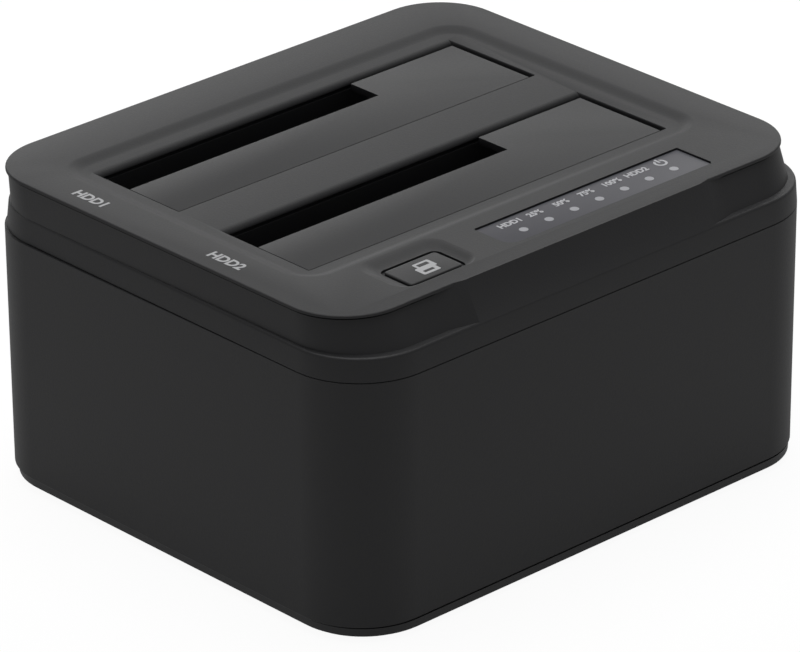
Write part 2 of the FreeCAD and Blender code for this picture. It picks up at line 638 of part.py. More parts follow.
loft(base, slab_outline("foot_proud", "base_bevel"),
     slab_outline("foot_proud + base_bevel", "0"))
pad(base, slab_outline("foot_proud + base_bevel", "0"), "base_edge - base_bevel")
SEAT = "(base_inset + base_gap + base_bevel)"
seat = case_outline(base, BASE_TOP, SEAT, SEAT, SEAT, f"case_corner - {SEAT}")
pad(base, seat, "base_gap")
LIP = f"({TAPERED} + fit_gap)"
lip = case_outline(base, HOUSING_BOTTOM, LIP, LIP, LIP, f"case_corner - {LIP}")
pad(base, lip, "base_lip_height")
INNER = f"({LIP} + base_lip)"
tray = case_outline(base, BASE_FLOOR, INNER, INNER, INNER, f"case_corner - {INNER}")
cut(base, tray, "3 * base_lip_height", forward=True)
PILLARS = tuple((f"{sx} * pillar_x", f"{sy} * pillar_y") for sx, sy in CORNERS)
bosses = sketch_on(base, "XY_Plane", BASE_FLOOR)
for x, y in PILLARS:
    add_centred(bosses, x, y, "case_head + 2 * base_lip", "case_head + 2 * base_lip")
pad(base, bosses, "pillar_seat")
# The board is screwed down in front and rests on plain blocks at the rear.
SCREW_LINE = "(board_front + board_screw_inset)"
REST_LINE = f"({BOARD_REAR} - board_screw_inset)"
standoffs = sketch_on(base, "XY_Plane", BASE_FLOOR)
for side in SIDES:
    for y in (SCREW_LINE, REST_LINE):
        add_centred(standoffs, f"{side} * board_screw_x", y, "small_post", "small_post")
pad(base, standoffs, "board_standoff")
counterbores = sketch_on(base, "XY_Plane", "foot_proud")
screw_holes = sketch_on(base, "XY_Plane", "foot_proud")
for x, y in PILLARS:
    add_circle(counterbores, x, y, "case_head + 2 * head_gap")
    add_circle(screw_holes, x, y, "case_screw")
cut(base, counterbores, "counterbore", forward=True)
cut(base, screw_holes, "counterbore + 2 * pillar_seat", forward=True)
foot_holes = sketch_on(base, "XY_Plane", "foot_proud")
for sx, sy in CORNERS:
    add_circle(foot_holes, f"{sx} * foot_x", f"{sy} * foot_y", "foot_diameter")
cut(base, foot_holes, "foot_recess", forward=True)
board_pilots = sketch_on(base, "XY_Plane", BOARD_BOTTOM)
for side in SIDES:
    add_circle(board_pilots, f"{side} * board_screw_x", SCREW_LINE, "small_screw")
cut(base, board_pilots, "small_screw_length - board_thickness + fit_gap")
finish(base, "base_plate")

finish(group(rod(f"{sx} * foot_x", f"{sy} * foot_y", "0", "foot_diameter",
                 "foot_proud + foot_recess") for sx, sy in CORNERS), "rubber_feet")
finish(group(screw(x, y, "foot_proud + counterbore - case_head_height", "case_screw",
                   "case_screw_length", "case_head", "case_head_height")
             for x, y in PILLARS), "case_screws")

# ---------------------------------------------------------------- drive bays
for tag, rear in enumerate(BAY_REARS, start=1):
    at_bay = (BAY_LEFT, rear, TRAY)

    # The well that a drive stands in, with a pocket for the folded flap door.
    well = start_body(f"drive_well_{tag}")
    outer = sketch_on(well, "YZ_Plane", "-well_wall")
    add_polygon(outer, (
        ("well_wall", "-bay_drop - well_wall"), ("well_wall", "-wall"),
        (f"{POCKET_FRONT} - well_wall", "-wall"),
        (f"{POCKET_FRONT} - well_wall", f"{POCKET_BOTTOM} - well_wall"),
        ("-bay_depth - well_wall", f"{POCKET_BOTTOM} - well_wall"),
        ("-bay_depth - well_wall", "-bay_drop - well_wall")))
    pad(well, outer, "bay_length + 2 * well_wall")
    inner = sketch_on(well, "YZ_Plane")
    add_polygon(inner, (
        ("0", "-bay_drop"), ("0", "0"), (POCKET_FRONT, "0"), (POCKET_FRONT, POCKET_BOTTOM),
        ("-bay_depth", POCKET_BOTTOM), ("-bay_depth", "-bay_drop")))
    cut(well, inner, "bay_length", forward=True)
    slot = sketch_on(well, "XY_Plane", "-bay_drop")
    add_rectangle(slot, "sata_from_left - sata_gap", "sata_from_left + sata_length + sata_gap",
                  "-sata_from_rear - sata_width / 2 - sata_gap",
                  "-sata_from_rear + sata_width / 2 + sata_gap")
    cut(well, slot, "2 * well_wall")
    pin_hole = sketch_on(well, "YZ_Plane", "-well_wall")
    add_circle(pin_hole, HINGE_Y, HINGE_Z, "pin_diameter")
    cut(well, pin_hole, "bay_length + 2 * well_wall", forward=True)
    tail_recess = sketch_on(well, "YZ_Plane")
    add_circle(tail_recess, HINGE_Y, HINGE_Z, f"2 * {COIL_RADIUS} + spring_wire + 2 * fit_gap")
    cut(well, tail_recess, "spring_tail + fit_gap")
    for side in range(2):
        x, y = ear_spot(side)
        ear = sketch_on(well, "XY_Plane", EAR_LEVEL)
        add_rectangle(ear, f"{x} - ear_reach / 2", f"{x} + ear_reach / 2",
                      f"{y} - ear_width / 2", f"{y} + ear_width / 2")
        pad(well, ear, "ear_thickness", back=True)
    ear_holes = sketch_on(well, "XY_Plane", EAR_LEVEL)
    for side in range(2):
        add_circle(ear_holes, *ear_spot(side), "small_screw")
    cut(well, ear_holes, "ear_thickness")
    place(well, *at_bay)
    finish(well, f"drive_well_{tag}")

    screws = group(screw(*ear_spot(side), f"{EAR_LEVEL} - ear_thickness - small_head_height",
                         "small_screw", "small_screw_length", "small_head", "small_head_height")
                   for side in range(2))
    place(screws, *at_bay)
    finish(screws, f"well_screws_{tag}")

    # The flap door: an L-shaped leaf hung from a barrel under the tray's web.
    flap = start_body(f"flap_{tag}")
    leaf = sketch_on(flap, "XY_Plane")
    RIGHT = "(bay_length - flap_right_gap)"
    add_polygon(leaf, (
        ("flap_left_gap", FLAP_FRONT), (RIGHT, FLAP_FRONT), (RIGHT, "-flap_rear_gap"),
        ("notch_length", "-flap_rear_gap"), ("notch_length", "-notch_depth"),
        ("flap_left_gap", "-notch_depth")))
    pad(flap, leaf, "flap_thickness", back=True)
    arm = sketch_on(flap, "YZ_Plane", "spring_space")
    ARM_TOP = f"({HINGE_Z} + barrel_diameter / 2)"
    add_polygon(arm, (
        (HINGE_Y, ARM_TOP), (FLAP_FRONT, ARM_TOP), (FLAP_FRONT, "-flap_thickness / 2"),
        (f"{FLAP_FRONT} + flap_thickness", "-flap_thickness / 2"),
        (f"{FLAP_FRONT} + flap_thickness", f"{ARM_TOP} - flap_thickness"),
        (HINGE_Y, f"{ARM_TOP} - flap_thickness")))
    pad(flap, arm, f"{RIGHT} - spring_space")
    barrel = sketch_on(flap, "YZ_Plane", "spring_space")
    add_circle(barrel, HINGE_Y, HINGE_Z, "barrel_diameter")
    pad(flap, barrel, f"{RIGHT} - spring_space")
    bore = sketch_on(flap, "YZ_Plane", "spring_space")
    add_circle(bore, HINGE_Y, HINGE_Z, "pin_diameter + 2 * pin_play")
    cut(flap, bore, "bay_length", forward=True)
    FIRST_RIB = "(spring_space - spring_tail)"
    RIB_SPACING = f"((notch_length - {FIRST_RIB}) / rib_count)"
    LONG_RIB_SPACING = f"(({RIGHT} - notch_length) / long_rib_count)"
    for start, rear_end, spacing, count in (
            (FIRST_RIB, "-notch_depth - rib_height", RIB_SPACING, "rib_count"),
            (f"(notch_length + {LONG_RIB_SPACING} / 2)", "-flap_rear_gap - rib_height",
             LONG_RIB_SPACING, "long_rib_count")):
        rib = sketch_on(flap, "XY_Plane", "-flap_thickness")
        add_rectangle(rib, f"{start} - rib_thickness / 2", f"{start} + rib_thickness / 2",
                      f"{FLAP_FRONT} + flap_thickness", rear_end)
        repeat(flap, pad(flap, rib, "rib_height", back=True), rib, spacing, count)
    place(flap, *at_bay)
    finish(flap, f"flap_{tag}")

    pin = rod(f"{BAY_LEFT} - well_wall", f"{at_bay[1]} + {HINGE_Y}", f"{TRAY} + {HINGE_Z}",
              "pin_diameter", "bay_length + 2 * well_wall", along="X")
    finish(pin, f"flap_pin_{tag}")

    # Close-wound torsion spring round the pin: its leg runs under the leaf's first rib.
    coil = start_body(f"flap_spring_{tag}")
    COIL_START = f"({FIRST_RIB} - spring_wire * spring_turns)"
    turns = sketch_on(coil, "XZ_Plane")
    crests = [(f"{COIL_START} + spring_wire * {k / 2}",
               f"{COIL_RADIUS} + spring_wire * {k % 2 / 2}")
              for k in range(2 * int(number("spring_turns")) + 1)]
    add_polygon(turns, [(COIL_START, f"{COIL_RADIUS} - spring_wire / 2"), *crests,
                        (FIRST_RIB, f"{COIL_RADIUS} - spring_wire / 2")])
    revolve(coil, turns)
    place(coil, "0", HINGE_Y, HINGE_Z)
    leg = rod(FIRST_RIB, f"{HINGE_Y} + spring_leg", f"{HINGE_Z} + {COIL_RADIUS}",
              "spring_wire", "spring_leg", along="Y")
    tail = rod("-spring_tail", HINGE_Y, f"{HINGE_Z} + {COIL_RADIUS}",
               "spring_wire", f"spring_tail + {COIL_START}", along="X")
    spring = join(coil, leg, tail)
    place(spring, *at_bay)
    finish(spring, f"flap_spring_{tag}")

    # Drive receptacle: signal and power slots side by side, with their contacts.
    SATA_TOP = f"({SATA_BASE} + sata_height)"
    SLOT_FLOOR = f"({SATA_TOP} - sata_slot_depth)"
    SLOT_FRONT = "(-sata_from_rear - sata_slot_width / 2)"
    SLOT_REAR = "(-sata_from_rear + sata_slot_width / 2)"
    MARGIN = "((sata_length - signal_slot - slot_divider - power_slot) / 2)"
    SIGNAL = f"(sata_from_left + {MARGIN})"
    POWER = f"({SIGNAL} + signal_slot + slot_divider)"
    shell = block("sata_from_left", "sata_from_left + sata_length",
                  "-sata_from_rear - sata_width / 2", "-sata_from_rear + sata_width / 2",
                  SATA_BASE, SATA_TOP)
    slots = []
    for start, length in ((SIGNAL, "signal_slot"), (POWER, "power_slot")):
        slots.append(block(start, f"{start} + {length}", SLOT_FRONT, SLOT_REAR,
                           SLOT_FLOOR, f"{SATA_TOP} + 1"))
        slots.append(block(start, f"{start} + slot_key", f"{SLOT_FRONT} - slot_key", SLOT_REAR,
                           SLOT_FLOOR, f"{SATA_TOP} + 1"))
    receptacle = subtract(shell, join(*slots))
    place(receptacle, *at_bay)
    finish(receptacle, f"sata_receptacle_{tag}")
    contacts = []
    for start, length, count in ((SIGNAL, "signal_slot", "signal_contacts"),
                                 (POWER, "power_slot", "power_contacts")):
        for k in range(int(number(count))):
            middle = f"({start} + {length} / 2 + contact_spacing * ({k} - ({count} - 1) / 2))"
            contacts.append(block(f"{middle} - contact_width / 2", f"{middle} + contact_width / 2",
                                  f"{SLOT_REAR} - contact_thickness", SLOT_REAR,
                                  SLOT_FLOOR, f"{SLOT_FLOOR} + contact_height"))
    contact_set = group(contacts)
    place(contact_set, *at_bay)
    finish(contact_set, f"sata_contacts_{tag}")

# ---------------------------------------------------------------- main board
board = start_body("main_board")
board_plan = sketch_on(board, "XY_Plane", BOARD_BOTTOM)
add_rectangle(board_plan, "-board_length / 2", "board_length / 2", "board_front", BOARD_REAR)
pad(board, board_plan, "board_thickness")
board_holes = sketch_on(board, "XY_Plane", BOARD_TOP)
for side in SIDES:
    add_circle(board_holes, f"{side} * board_screw_x", SCREW_LINE, "small_screw")
cut(board, board_holes, "board_thickness")
finish(board, "main_board")
finish(group(screw(f"{side} * board_screw_x", SCREW_LINE, BOARD_TOP, "small_screw",
                   "small_screw_length", "small_head", "small_head_height", up=False)
             for side in SIDES), "board_screws")


def chip(label, x, y, length, width, height, level=BOARD_TOP):
    body = block(f"{x} - {length} / 2", f"{x} + {length} / 2", f"{y} - {width} / 2",
                 f"{y} + {width} / 2", level, f"{level} + {height}")
    return finish(body, label)


chip("bridge_chip", "chip_x", "chip_y", "bridge_size", "bridge_size", "bridge_height")
chip("flash_chip", "chip_x - 2 * bridge_size", "chip_y", "flash_length", "flash_width",
     "flash_height")
chip("crystal", "chip_x + 1.5 * bridge_size", "chip_y", "crystal_length", "crystal_width",
     "crystal_height")
finish(group(rod(f"capacitor_x + {k} * capacitor_spacing", "row_y", BOARD_TOP,
                 "capacitor_diameter", "capacitor_height")
             for k in range(int(number("capacitor_count")))), "capacitors")
finish(group(block(f"inductor_x + {k} * inductor_spacing",
                   f"inductor_x + {k} * inductor_spacing + inductor_size",
                   "row_y - inductor_size / 2", "row_y + inductor_size / 2",
                   BOARD_TOP, f"{BOARD_TOP} + inductor_height") for k in range(2)), "inductors")

# ---------------------------------------------------------------- rear sockets
USB_FRONT = f"({PORT_PLANE} - usb_depth)"
USB_LEFT, USB_RIGHT = "(usb_x - usb_width / 2)", "(usb_x + usb_width / 2)"
USB_TOP = f"({BOARD_TOP} + usb_height)"
can = block(USB_LEFT, USB_RIGHT, USB_FRONT, PORT_PLANE, BOARD_TOP, USB_TOP)
hollow = block(f"{USB_LEFT} + usb_skin", f"{USB_RIGHT} - usb_skin", f"{USB_FRONT} + usb_skin",
               f"{PORT_PLANE} + 1", f"{BOARD_TOP} + usb_skin", f"{USB_TOP} - usb_skin")
finish(subtract(can, hollow), "usb_shell")

LOWER = f"({BOARD_TOP} + usb_skin + usb_floor)"
UPPER = f"({LOWER} + usb_lower_height + usb_floor)"
insert = block(f"{USB_LEFT} + usb_skin", f"{USB_RIGHT} - usb_skin", f"{USB_FRONT} + usb_skin",
               PORT_PLANE, f"{BOARD_TOP} + usb_skin", f"{USB_TOP} - usb_skin")
MOUTH = f"({PORT_PLANE} - usb_mouth_depth)"
lower_mouth = block("usb_x - usb_lower_width / 2", "usb_x + usb_lower_width / 2", MOUTH,
                    f"{PORT_PLANE} + 1", LOWER, f"{LOWER} + usb_lower_height")
upper_mouth = block("usb_x - usb_upper_width / 2", "usb_x + usb_upper_width / 2", MOUTH,
                    f"{PORT_PLANE} + 1", UPPER, f"{UPPER} + usb_upper_height")
TONGUE_LOW = f"({LOWER} + (usb_lower_height - usb_tongue_height) / 2)"
usb_tongue = block("usb_x - usb_tongue_width / 2", "usb_x + usb_tongue_width / 2", MOUTH,
                   f"{PORT_PLANE} - usb_tongue_set_back", TONGUE_LOW,
                   f"{TONGUE_LOW} + usb_tongue_height")
finish(join(subtract(insert, join(lower_mouth, upper_mouth)), usb_tongue), "usb_insert")

JACK_Z = f"({BOARD_TOP} + jack_height / 2)"
JACK_BACK = f"({PORT_BACK} - port_gap)"
jack = join(
    block("jack_x - jack_width / 2", "jack_x + jack_width / 2", f"{JACK_BACK} - jack_depth",
          JACK_BACK, BOARD_TOP, f"{BOARD_TOP} + jack_height"),
    rod("jack_x", PORT_PLANE, JACK_Z, "jack_collar", f"{PORT_PLANE} - {JACK_BACK}", along="Y"))
jack_hole = rod("jack_x", f"{PORT_PLANE} + 1", JACK_Z, "jack_bore", "jack_bore_depth + 1",
                along="Y")
finish(subtract(jack, jack_hole), "dc_jack_body")
finish(rod("jack_x", f"{PORT_PLANE} - usb_tongue_set_back", JACK_Z, "jack_pin",
           "jack_bore_depth - usb_tongue_set_back", along="Y"), "dc_jack_pin")

# Power switch: a frame clipped in the rear wall, and a paddle that rocks in it.
SWITCH_BACK = f"({PORT_PLANE} - switch_body_depth)"
PIVOT_Y = f"({PORT_PLANE} - rocker_pivot_set_back)"
frame_solid = join(
    block("switch_x - switch_bezel_length / 2", "switch_x + switch_bezel_length / 2",
          PORT_PLANE, f"{PORT_PLANE} + switch_bezel_thickness",
          "switch_z - switch_bezel_height / 2", "switch_z + switch_bezel_height / 2"),
    block("switch_x - switch_body_length / 2", "switch_x + switch_body_length / 2",
          SWITCH_BACK, PORT_PLANE,
          "switch_z - switch_body_height / 2", "switch_z + switch_body_height / 2"))
chamber = block("switch_x - switch_body_length / 2 + switch_skin",
                "switch_x + switch_body_length / 2 - switch_skin",
                f"{SWITCH_BACK} + 2 * switch_skin", f"{PORT_PLANE} + 2 * switch_bezel_thickness",
                "switch_z - switch_body_height / 2 + switch_skin",
                "switch_z + switch_body_height / 2 - switch_skin")
pivot_holes = rod("switch_x", PIVOT_Y, "switch_z - switch_body_height / 2",
                  "rocker_hub + 2 * pin_play", "switch_body_height")
finish(subtract(frame_solid, join(chamber, pivot_holes)), "switch_frame")

rocker = start_body("power_rocker")
TIP = "(rocker_waist + rocker_horn)"
profile = sketch_on(rocker, "XY_Plane", "-rocker_height / 2")
add_polygon(profile, (
    ("-rocker_length / 2", TIP), ("-rocker_length / 2", "-rocker_waist / 2"),
    ("-rocker_hub", "-rocker_depth"), ("rocker_hub", "-rocker_depth"),
    ("rocker_length / 2", "-rocker_waist / 2"), ("rocker_length / 2", TIP), ("0", "rocker_waist")))
pad(rocker, profile, "rocker_height")
hub = sketch_on(rocker, "XY_Plane", "-switch_body_height / 2")
add_circle(hub, "0", "0", "rocker_hub")
pad(rocker, hub, "switch_body_height")
rocker.Placement.Rotation = Rotation(Vector(0, 0, 1), -number("rocker_tilt"))
rocker.setExpression("Placement.Rotation.Angle", bind("-rocker_tilt * 1deg"))
place(rocker, "switch_x", PIVOT_Y, "switch_z")
finish(rocker, "power_rocker")

finish(group(block(f"switch_x + {side} * terminal_spacing / 2 - terminal_thickness / 2",
                   f"switch_x + {side} * terminal_spacing / 2 + terminal_thickness / 2",
                   f"{SWITCH_BACK} - terminal_length", SWITCH_BACK,
                   "switch_z - terminal_width / 2", "switch_z + terminal_width / 2")
             for side in SIDES), "switch_terminals")


def lead(x):
    """A flat lead from a switch terminal, turned down on to the board."""
    rear = f"({SWITCH_BACK} - terminal_length)"
    front = f"({rear} - lead_reach - lead_thickness)"
    top = "(switch_z + lead_thickness / 2)"
    run = block(f"{x} - lead_width / 2", f"{x} + lead_width / 2", front, rear,
                f"{top} - lead_thickness", top)
    drop = block(f"{x} - lead_width / 2", f"{x} + lead_width / 2", front,
                 f"{front} + lead_thickness", BOARD_TOP, top)
    return join(run, drop)


finish(group(lead(f"(switch_x + {side} * terminal_spacing / 2)") for side in SIDES),
       "switch_leads")

# ---------------------------------------------------------------- clone button and indicators
button = start_body("clone_button")
CAP_EDGE = f"({TOP} - button_sunk - button_bevel)"
pad(button, button_outline(button, FLANGE_TOP, "0", "button_corner"), f"{CAP_EDGE} - {FLANGE_TOP}")
loft(button, button_outline(button, CAP_EDGE, "0", "button_corner"),
     button_outline(button, f"{TOP} - button_sunk", "-button_bevel",
                    "button_corner - button_bevel"))
pad(button, button_outline(button, FLANGE_TOP, "button_flange", "button_corner"),
    "button_flange_thickness", back=True)
nub = sketch_on(button, "XY_Plane", FLANGE_BOTTOM)
add_circle(nub, "button_x", "button_y", "nub_diameter")
pad(button, nub, f"{FLANGE_BOTTOM} - {PLUNGER_TOP}", back=True)
finish(button, "clone_button")

plunger_bore = rod("button_x", "button_y", f"{TACT_TOP} - bore_depth",
                   "plunger_diameter + 2 * plunger_gap", "bore_depth + 1")
tact_case = block("button_x - tact_size / 2", "button_x + tact_size / 2",
                  "button_y - tact_size / 2", "button_y + tact_size / 2", PANEL_TOP, TACT_TOP)
finish(subtract(tact_case, plunger_bore), "tact_switch")
finish(rod("button_x", "button_y", f"{TACT_TOP} - plunger_sunk", "plunger_diameter",
           "plunger_sunk + plunger_proud"), "tact_plunger")

window = start_body("led_window")
pad(window, window_outline(window, WINDOW_FLOOR, "0"), "window_thickness")
finish(window, "led_window")
LIGHTS = range(int(number("light_count")))
guides = [centred_block(f"({FIRST_LIGHT} + {k} * light_spacing)", "light_y", "guide_length",
                        "guide_width", f"{PANEL_TOP} + led_height", WINDOW_FLOOR) for k in LIGHTS]
comb = centred_block("(window_x + light_shift)", "light_y",
                     "light_spacing * (light_count - 1) + 2 * guide_length",
                     "guide_width / 2", f"{CEILING} - guide_length", CEILING)
finish(join(*guides, comb), "light_pipes")
finish(group(centred_block(f"({FIRST_LIGHT} + {k} * light_spacing)", "light_y", "led_length",
                           "led_width", PANEL_TOP, f"{PANEL_TOP} + led_height")
             for k in LIGHTS), "led_chips")

panel = start_body("indicator_board")
panel_plan = sketch_on(panel, "XY_Plane", PANEL_BOTTOM)
add_rectangle(panel_plan, PANEL_LEFT, PANEL_RIGHT, "panel_from_front - case_depth / 2",
              "front_field - case_depth / 2 - panel_set_back")
pad(panel, panel_plan, "panel_thickness")
panel_holes = sketch_on(panel, "XY_Plane", PANEL_TOP)
for x in PANEL_SCREWS:
    add_circle(panel_holes, x, "light_y", "small_screw")
cut(panel, panel_holes, "panel_thickness")
finish(panel, "indicator_board")
finish(group(screw(x, "light_y", f"{PANEL_BOTTOM} - small_head_height", "small_screw",
                   "small_screw_length", "small_head", "small_head_height")
             for x in PANEL_SCREWS), "panel_screws")

# Ribbon between the boards, slack enough to bow forward, with a header at each end.
RIBBON_TOP = f"({PANEL_BOTTOM} - header_height)"
RIBBON_LOW = f"({BOARD_TOP} + header_height)"
RIBBON_MID = f"(({RIBBON_TOP} + {RIBBON_LOW}) / 2)"
ribbon = start_body("signal_ribbon")
strip = sketch_on(ribbon, "YZ_Plane", "ribbon_x - ribbon_width / 2")
front_y, bowed_y = "(row_y - ribbon_thickness / 2)", "(row_y - ribbon_bow)"
course = ((front_y, RIBBON_LOW), (front_y, f"{RIBBON_LOW} + ribbon_bow"),
          (bowed_y, f"{RIBBON_MID} - ribbon_bow"), (bowed_y, f"{RIBBON_MID} + ribbon_bow"),
          (front_y, f"{RIBBON_TOP} - ribbon_bow"), (front_y, RIBBON_TOP))
rear_side = [(f"{y} + ribbon_thickness", z) for y, z in reversed(course)]
add_polygon(strip, list(course) + rear_side)
pad(ribbon, strip, "ribbon_width")
finish(ribbon, "signal_ribbon")
finish(group(block("ribbon_x - header_length / 2", "ribbon_x + header_length / 2",
                   "row_y - header_width / 2", "row_y + header_width / 2", low, high)
             for low, high in ((BOARD_TOP, RIBBON_LOW), (RIBBON_TOP, PANEL_BOTTOM))),
       "ribbon_headers")

# ---------------------------------------------------------------- check and export
doc.recompute()
for item in doc.Objects:
    if "Invalid" in item.State or "Error" in item.State:
        raise ValueError(f"{item.Name} ({item.Label}) did not build")
os.makedirs("parts", exist_ok=True)
for item in finished:
    if item.Shape.isNull() or not item.Shape.isValid() or not item.Shape.Solids:
        raise ValueError(f"{item.Label} has no sound solid")
    item.Shape.exportStep(f"parts/{item.Label}.step")
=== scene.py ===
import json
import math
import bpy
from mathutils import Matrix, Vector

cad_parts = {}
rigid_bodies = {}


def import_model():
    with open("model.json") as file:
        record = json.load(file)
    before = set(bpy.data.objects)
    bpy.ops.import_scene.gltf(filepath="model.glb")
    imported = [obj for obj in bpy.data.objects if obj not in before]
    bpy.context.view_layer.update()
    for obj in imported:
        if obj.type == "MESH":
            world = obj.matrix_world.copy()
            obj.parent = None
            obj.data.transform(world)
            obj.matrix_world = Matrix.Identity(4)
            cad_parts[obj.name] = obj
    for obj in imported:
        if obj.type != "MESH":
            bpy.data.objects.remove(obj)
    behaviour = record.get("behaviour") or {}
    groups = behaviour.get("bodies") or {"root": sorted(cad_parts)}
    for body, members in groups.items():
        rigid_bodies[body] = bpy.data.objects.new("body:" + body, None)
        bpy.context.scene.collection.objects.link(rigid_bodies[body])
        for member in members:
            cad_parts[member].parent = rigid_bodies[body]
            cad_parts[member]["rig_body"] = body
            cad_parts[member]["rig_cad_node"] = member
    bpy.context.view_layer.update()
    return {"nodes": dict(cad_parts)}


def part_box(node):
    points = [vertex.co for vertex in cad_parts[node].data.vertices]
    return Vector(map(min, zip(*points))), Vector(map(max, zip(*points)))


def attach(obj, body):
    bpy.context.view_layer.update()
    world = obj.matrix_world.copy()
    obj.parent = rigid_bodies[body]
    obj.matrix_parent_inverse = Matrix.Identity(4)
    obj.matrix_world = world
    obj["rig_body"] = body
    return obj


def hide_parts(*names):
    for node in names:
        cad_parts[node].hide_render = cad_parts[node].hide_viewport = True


bl_info = {
    "name": "Drive duplicator",
    "version": (1, 0, 0),
    "blender": (4, 5, 0),
    "location": "3D View > Sidebar > Drive duplicator",
    "description": "Dresses a two-bay drive dock with its case, flap doors, lights and lettering",
    "category": "Object",
}

import bmesh
import bpy
from bpy.props import FloatProperty, FloatVectorProperty, PointerProperty
from mathutils import Quaternion, Vector

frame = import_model()
NODES = frame["nodes"]

MM = 0.001
NEAR = 1e-6  # verts closer than this to a level or a corner lie on it, in metres
CAPITALS = 0.72  # the height of a capital, as a share of the letters' size
CLOUDS = 45.0  # to a metre, in moulded plastic


# ------------------------------------------------------------------ colour and nodes

def hex_colour(text):
    """An sRGB hex value, such as 4A4A4C, as linear red, green, blue and alpha."""
    channels = [int(text[i:i + 2], 16) / 255 for i in (0, 2, 4)]
    linear = [c / 12.92 if c <= 0.04045 else ((c + 0.055) / 1.055) ** 2.4 for c in channels]
    return (*linear, 1.0)


def add_node(tree, kind, settings=None, **inputs):
    """Add a node; each input is a plain value or another node's output."""
    node = tree.nodes.new(kind)
    for name, value in (settings or {}).items():
        setattr(node, name, value)
    for name, value in inputs.items():
        socket = node.inputs[name.replace("_", " ")]
        if isinstance(value, bpy.types.NodeSocket):
            tree.links.new(value, socket)
        else:
            socket.default_value = value
    return node


def new_material(name):
    """An empty material and its node tree."""
    material = bpy.data.materials.new(name)
    material.use_nodes = True
    material.node_tree.nodes.clear()
    return material, material.node_tree


def surface(tree, shader):
    """Wire a shader to the material's output."""
    add_node(tree, "ShaderNodeOutputMaterial", Surface=shader.outputs[0])


def moulded_plastic(name, colour, roughness, grain_mm, grain_depth, mottle=0.06, ior=1.54):
    """Injection-moulded plastic whose mould was spark-eroded: an even fine grain that
    breaks up highlights, with faint cloudiness where the melt cooled unevenly. Real grain is
    near 0.1 mm wide, too fine to show, so it is drawn a few times coarser."""
    material, tree = new_material(name)
    place = add_node(tree, "ShaderNodeTexCoord").outputs["Object"]
    cloud = add_node(tree, "ShaderNodeTexNoise", Vector=place, Scale=CLOUDS, Detail=2.0)
    dark = tuple(c * (1 - mottle) for c in colour[:3]) + (1.0,)
    pale = tuple(c * (1 + mottle) for c in colour[:3]) + (1.0,)
    shade = add_node(tree, "ShaderNodeMix", {"data_type": "RGBA"})
    shade.inputs[6].default_value = dark
    shade.inputs[7].default_value = pale
    tree.links.new(cloud.outputs[0], shade.inputs[0])
    grain = add_node(tree, "ShaderNodeTexNoise", Vector=place, Scale=1 / (grain_mm * MM),
                     Detail=3.0, Roughness=0.6)
    speckle = add_node(tree, "ShaderNodeMapRange", Value=grain.outputs[0],
                       To_Min=roughness - 0.06, To_Max=roughness + 0.06)
    bump = add_node(tree, "ShaderNodeBump", Strength=grain_depth, Distance=grain_mm * MM * 0.2,
                    Height=grain.outputs[0])
    shader = add_node(tree, "ShaderNodeBsdfPrincipled", Base_Color=shade.outputs[2],
                      Roughness=speckle.outputs[0], IOR=ior, Normal=bump.outputs[0])
    surface(tree, shader)
    return material


def metal(name, colour, roughness, line_mm=0.4, along=(1, 1, 1)):
    """Plated or drawn metal with faint draw lines along one direction, drawn coarser than
    real ones so that they show."""
    material, tree = new_material(name)
    place = add_node(tree, "ShaderNodeTexCoord").outputs["Object"]
    stretched = add_node(tree, "ShaderNodeMapping", Vector=place)
    stretched.inputs["Scale"].default_value = along
    lines = add_node(tree, "ShaderNodeTexNoise", Vector=stretched.outputs[0],
                     Scale=1 / (line_mm * MM), Detail=2.0)
    spread = add_node(tree, "ShaderNodeMapRange", Value=lines.outputs[0],
                      To_Min=roughness - 0.08, To_Max=roughness + 0.08)
    shader = add_node(tree, "ShaderNodeBsdfPrincipled", Base_Color=colour,
                      Metallic=1.0, Roughness=spread.outputs[0])
    surface(tree, shader)
    return material


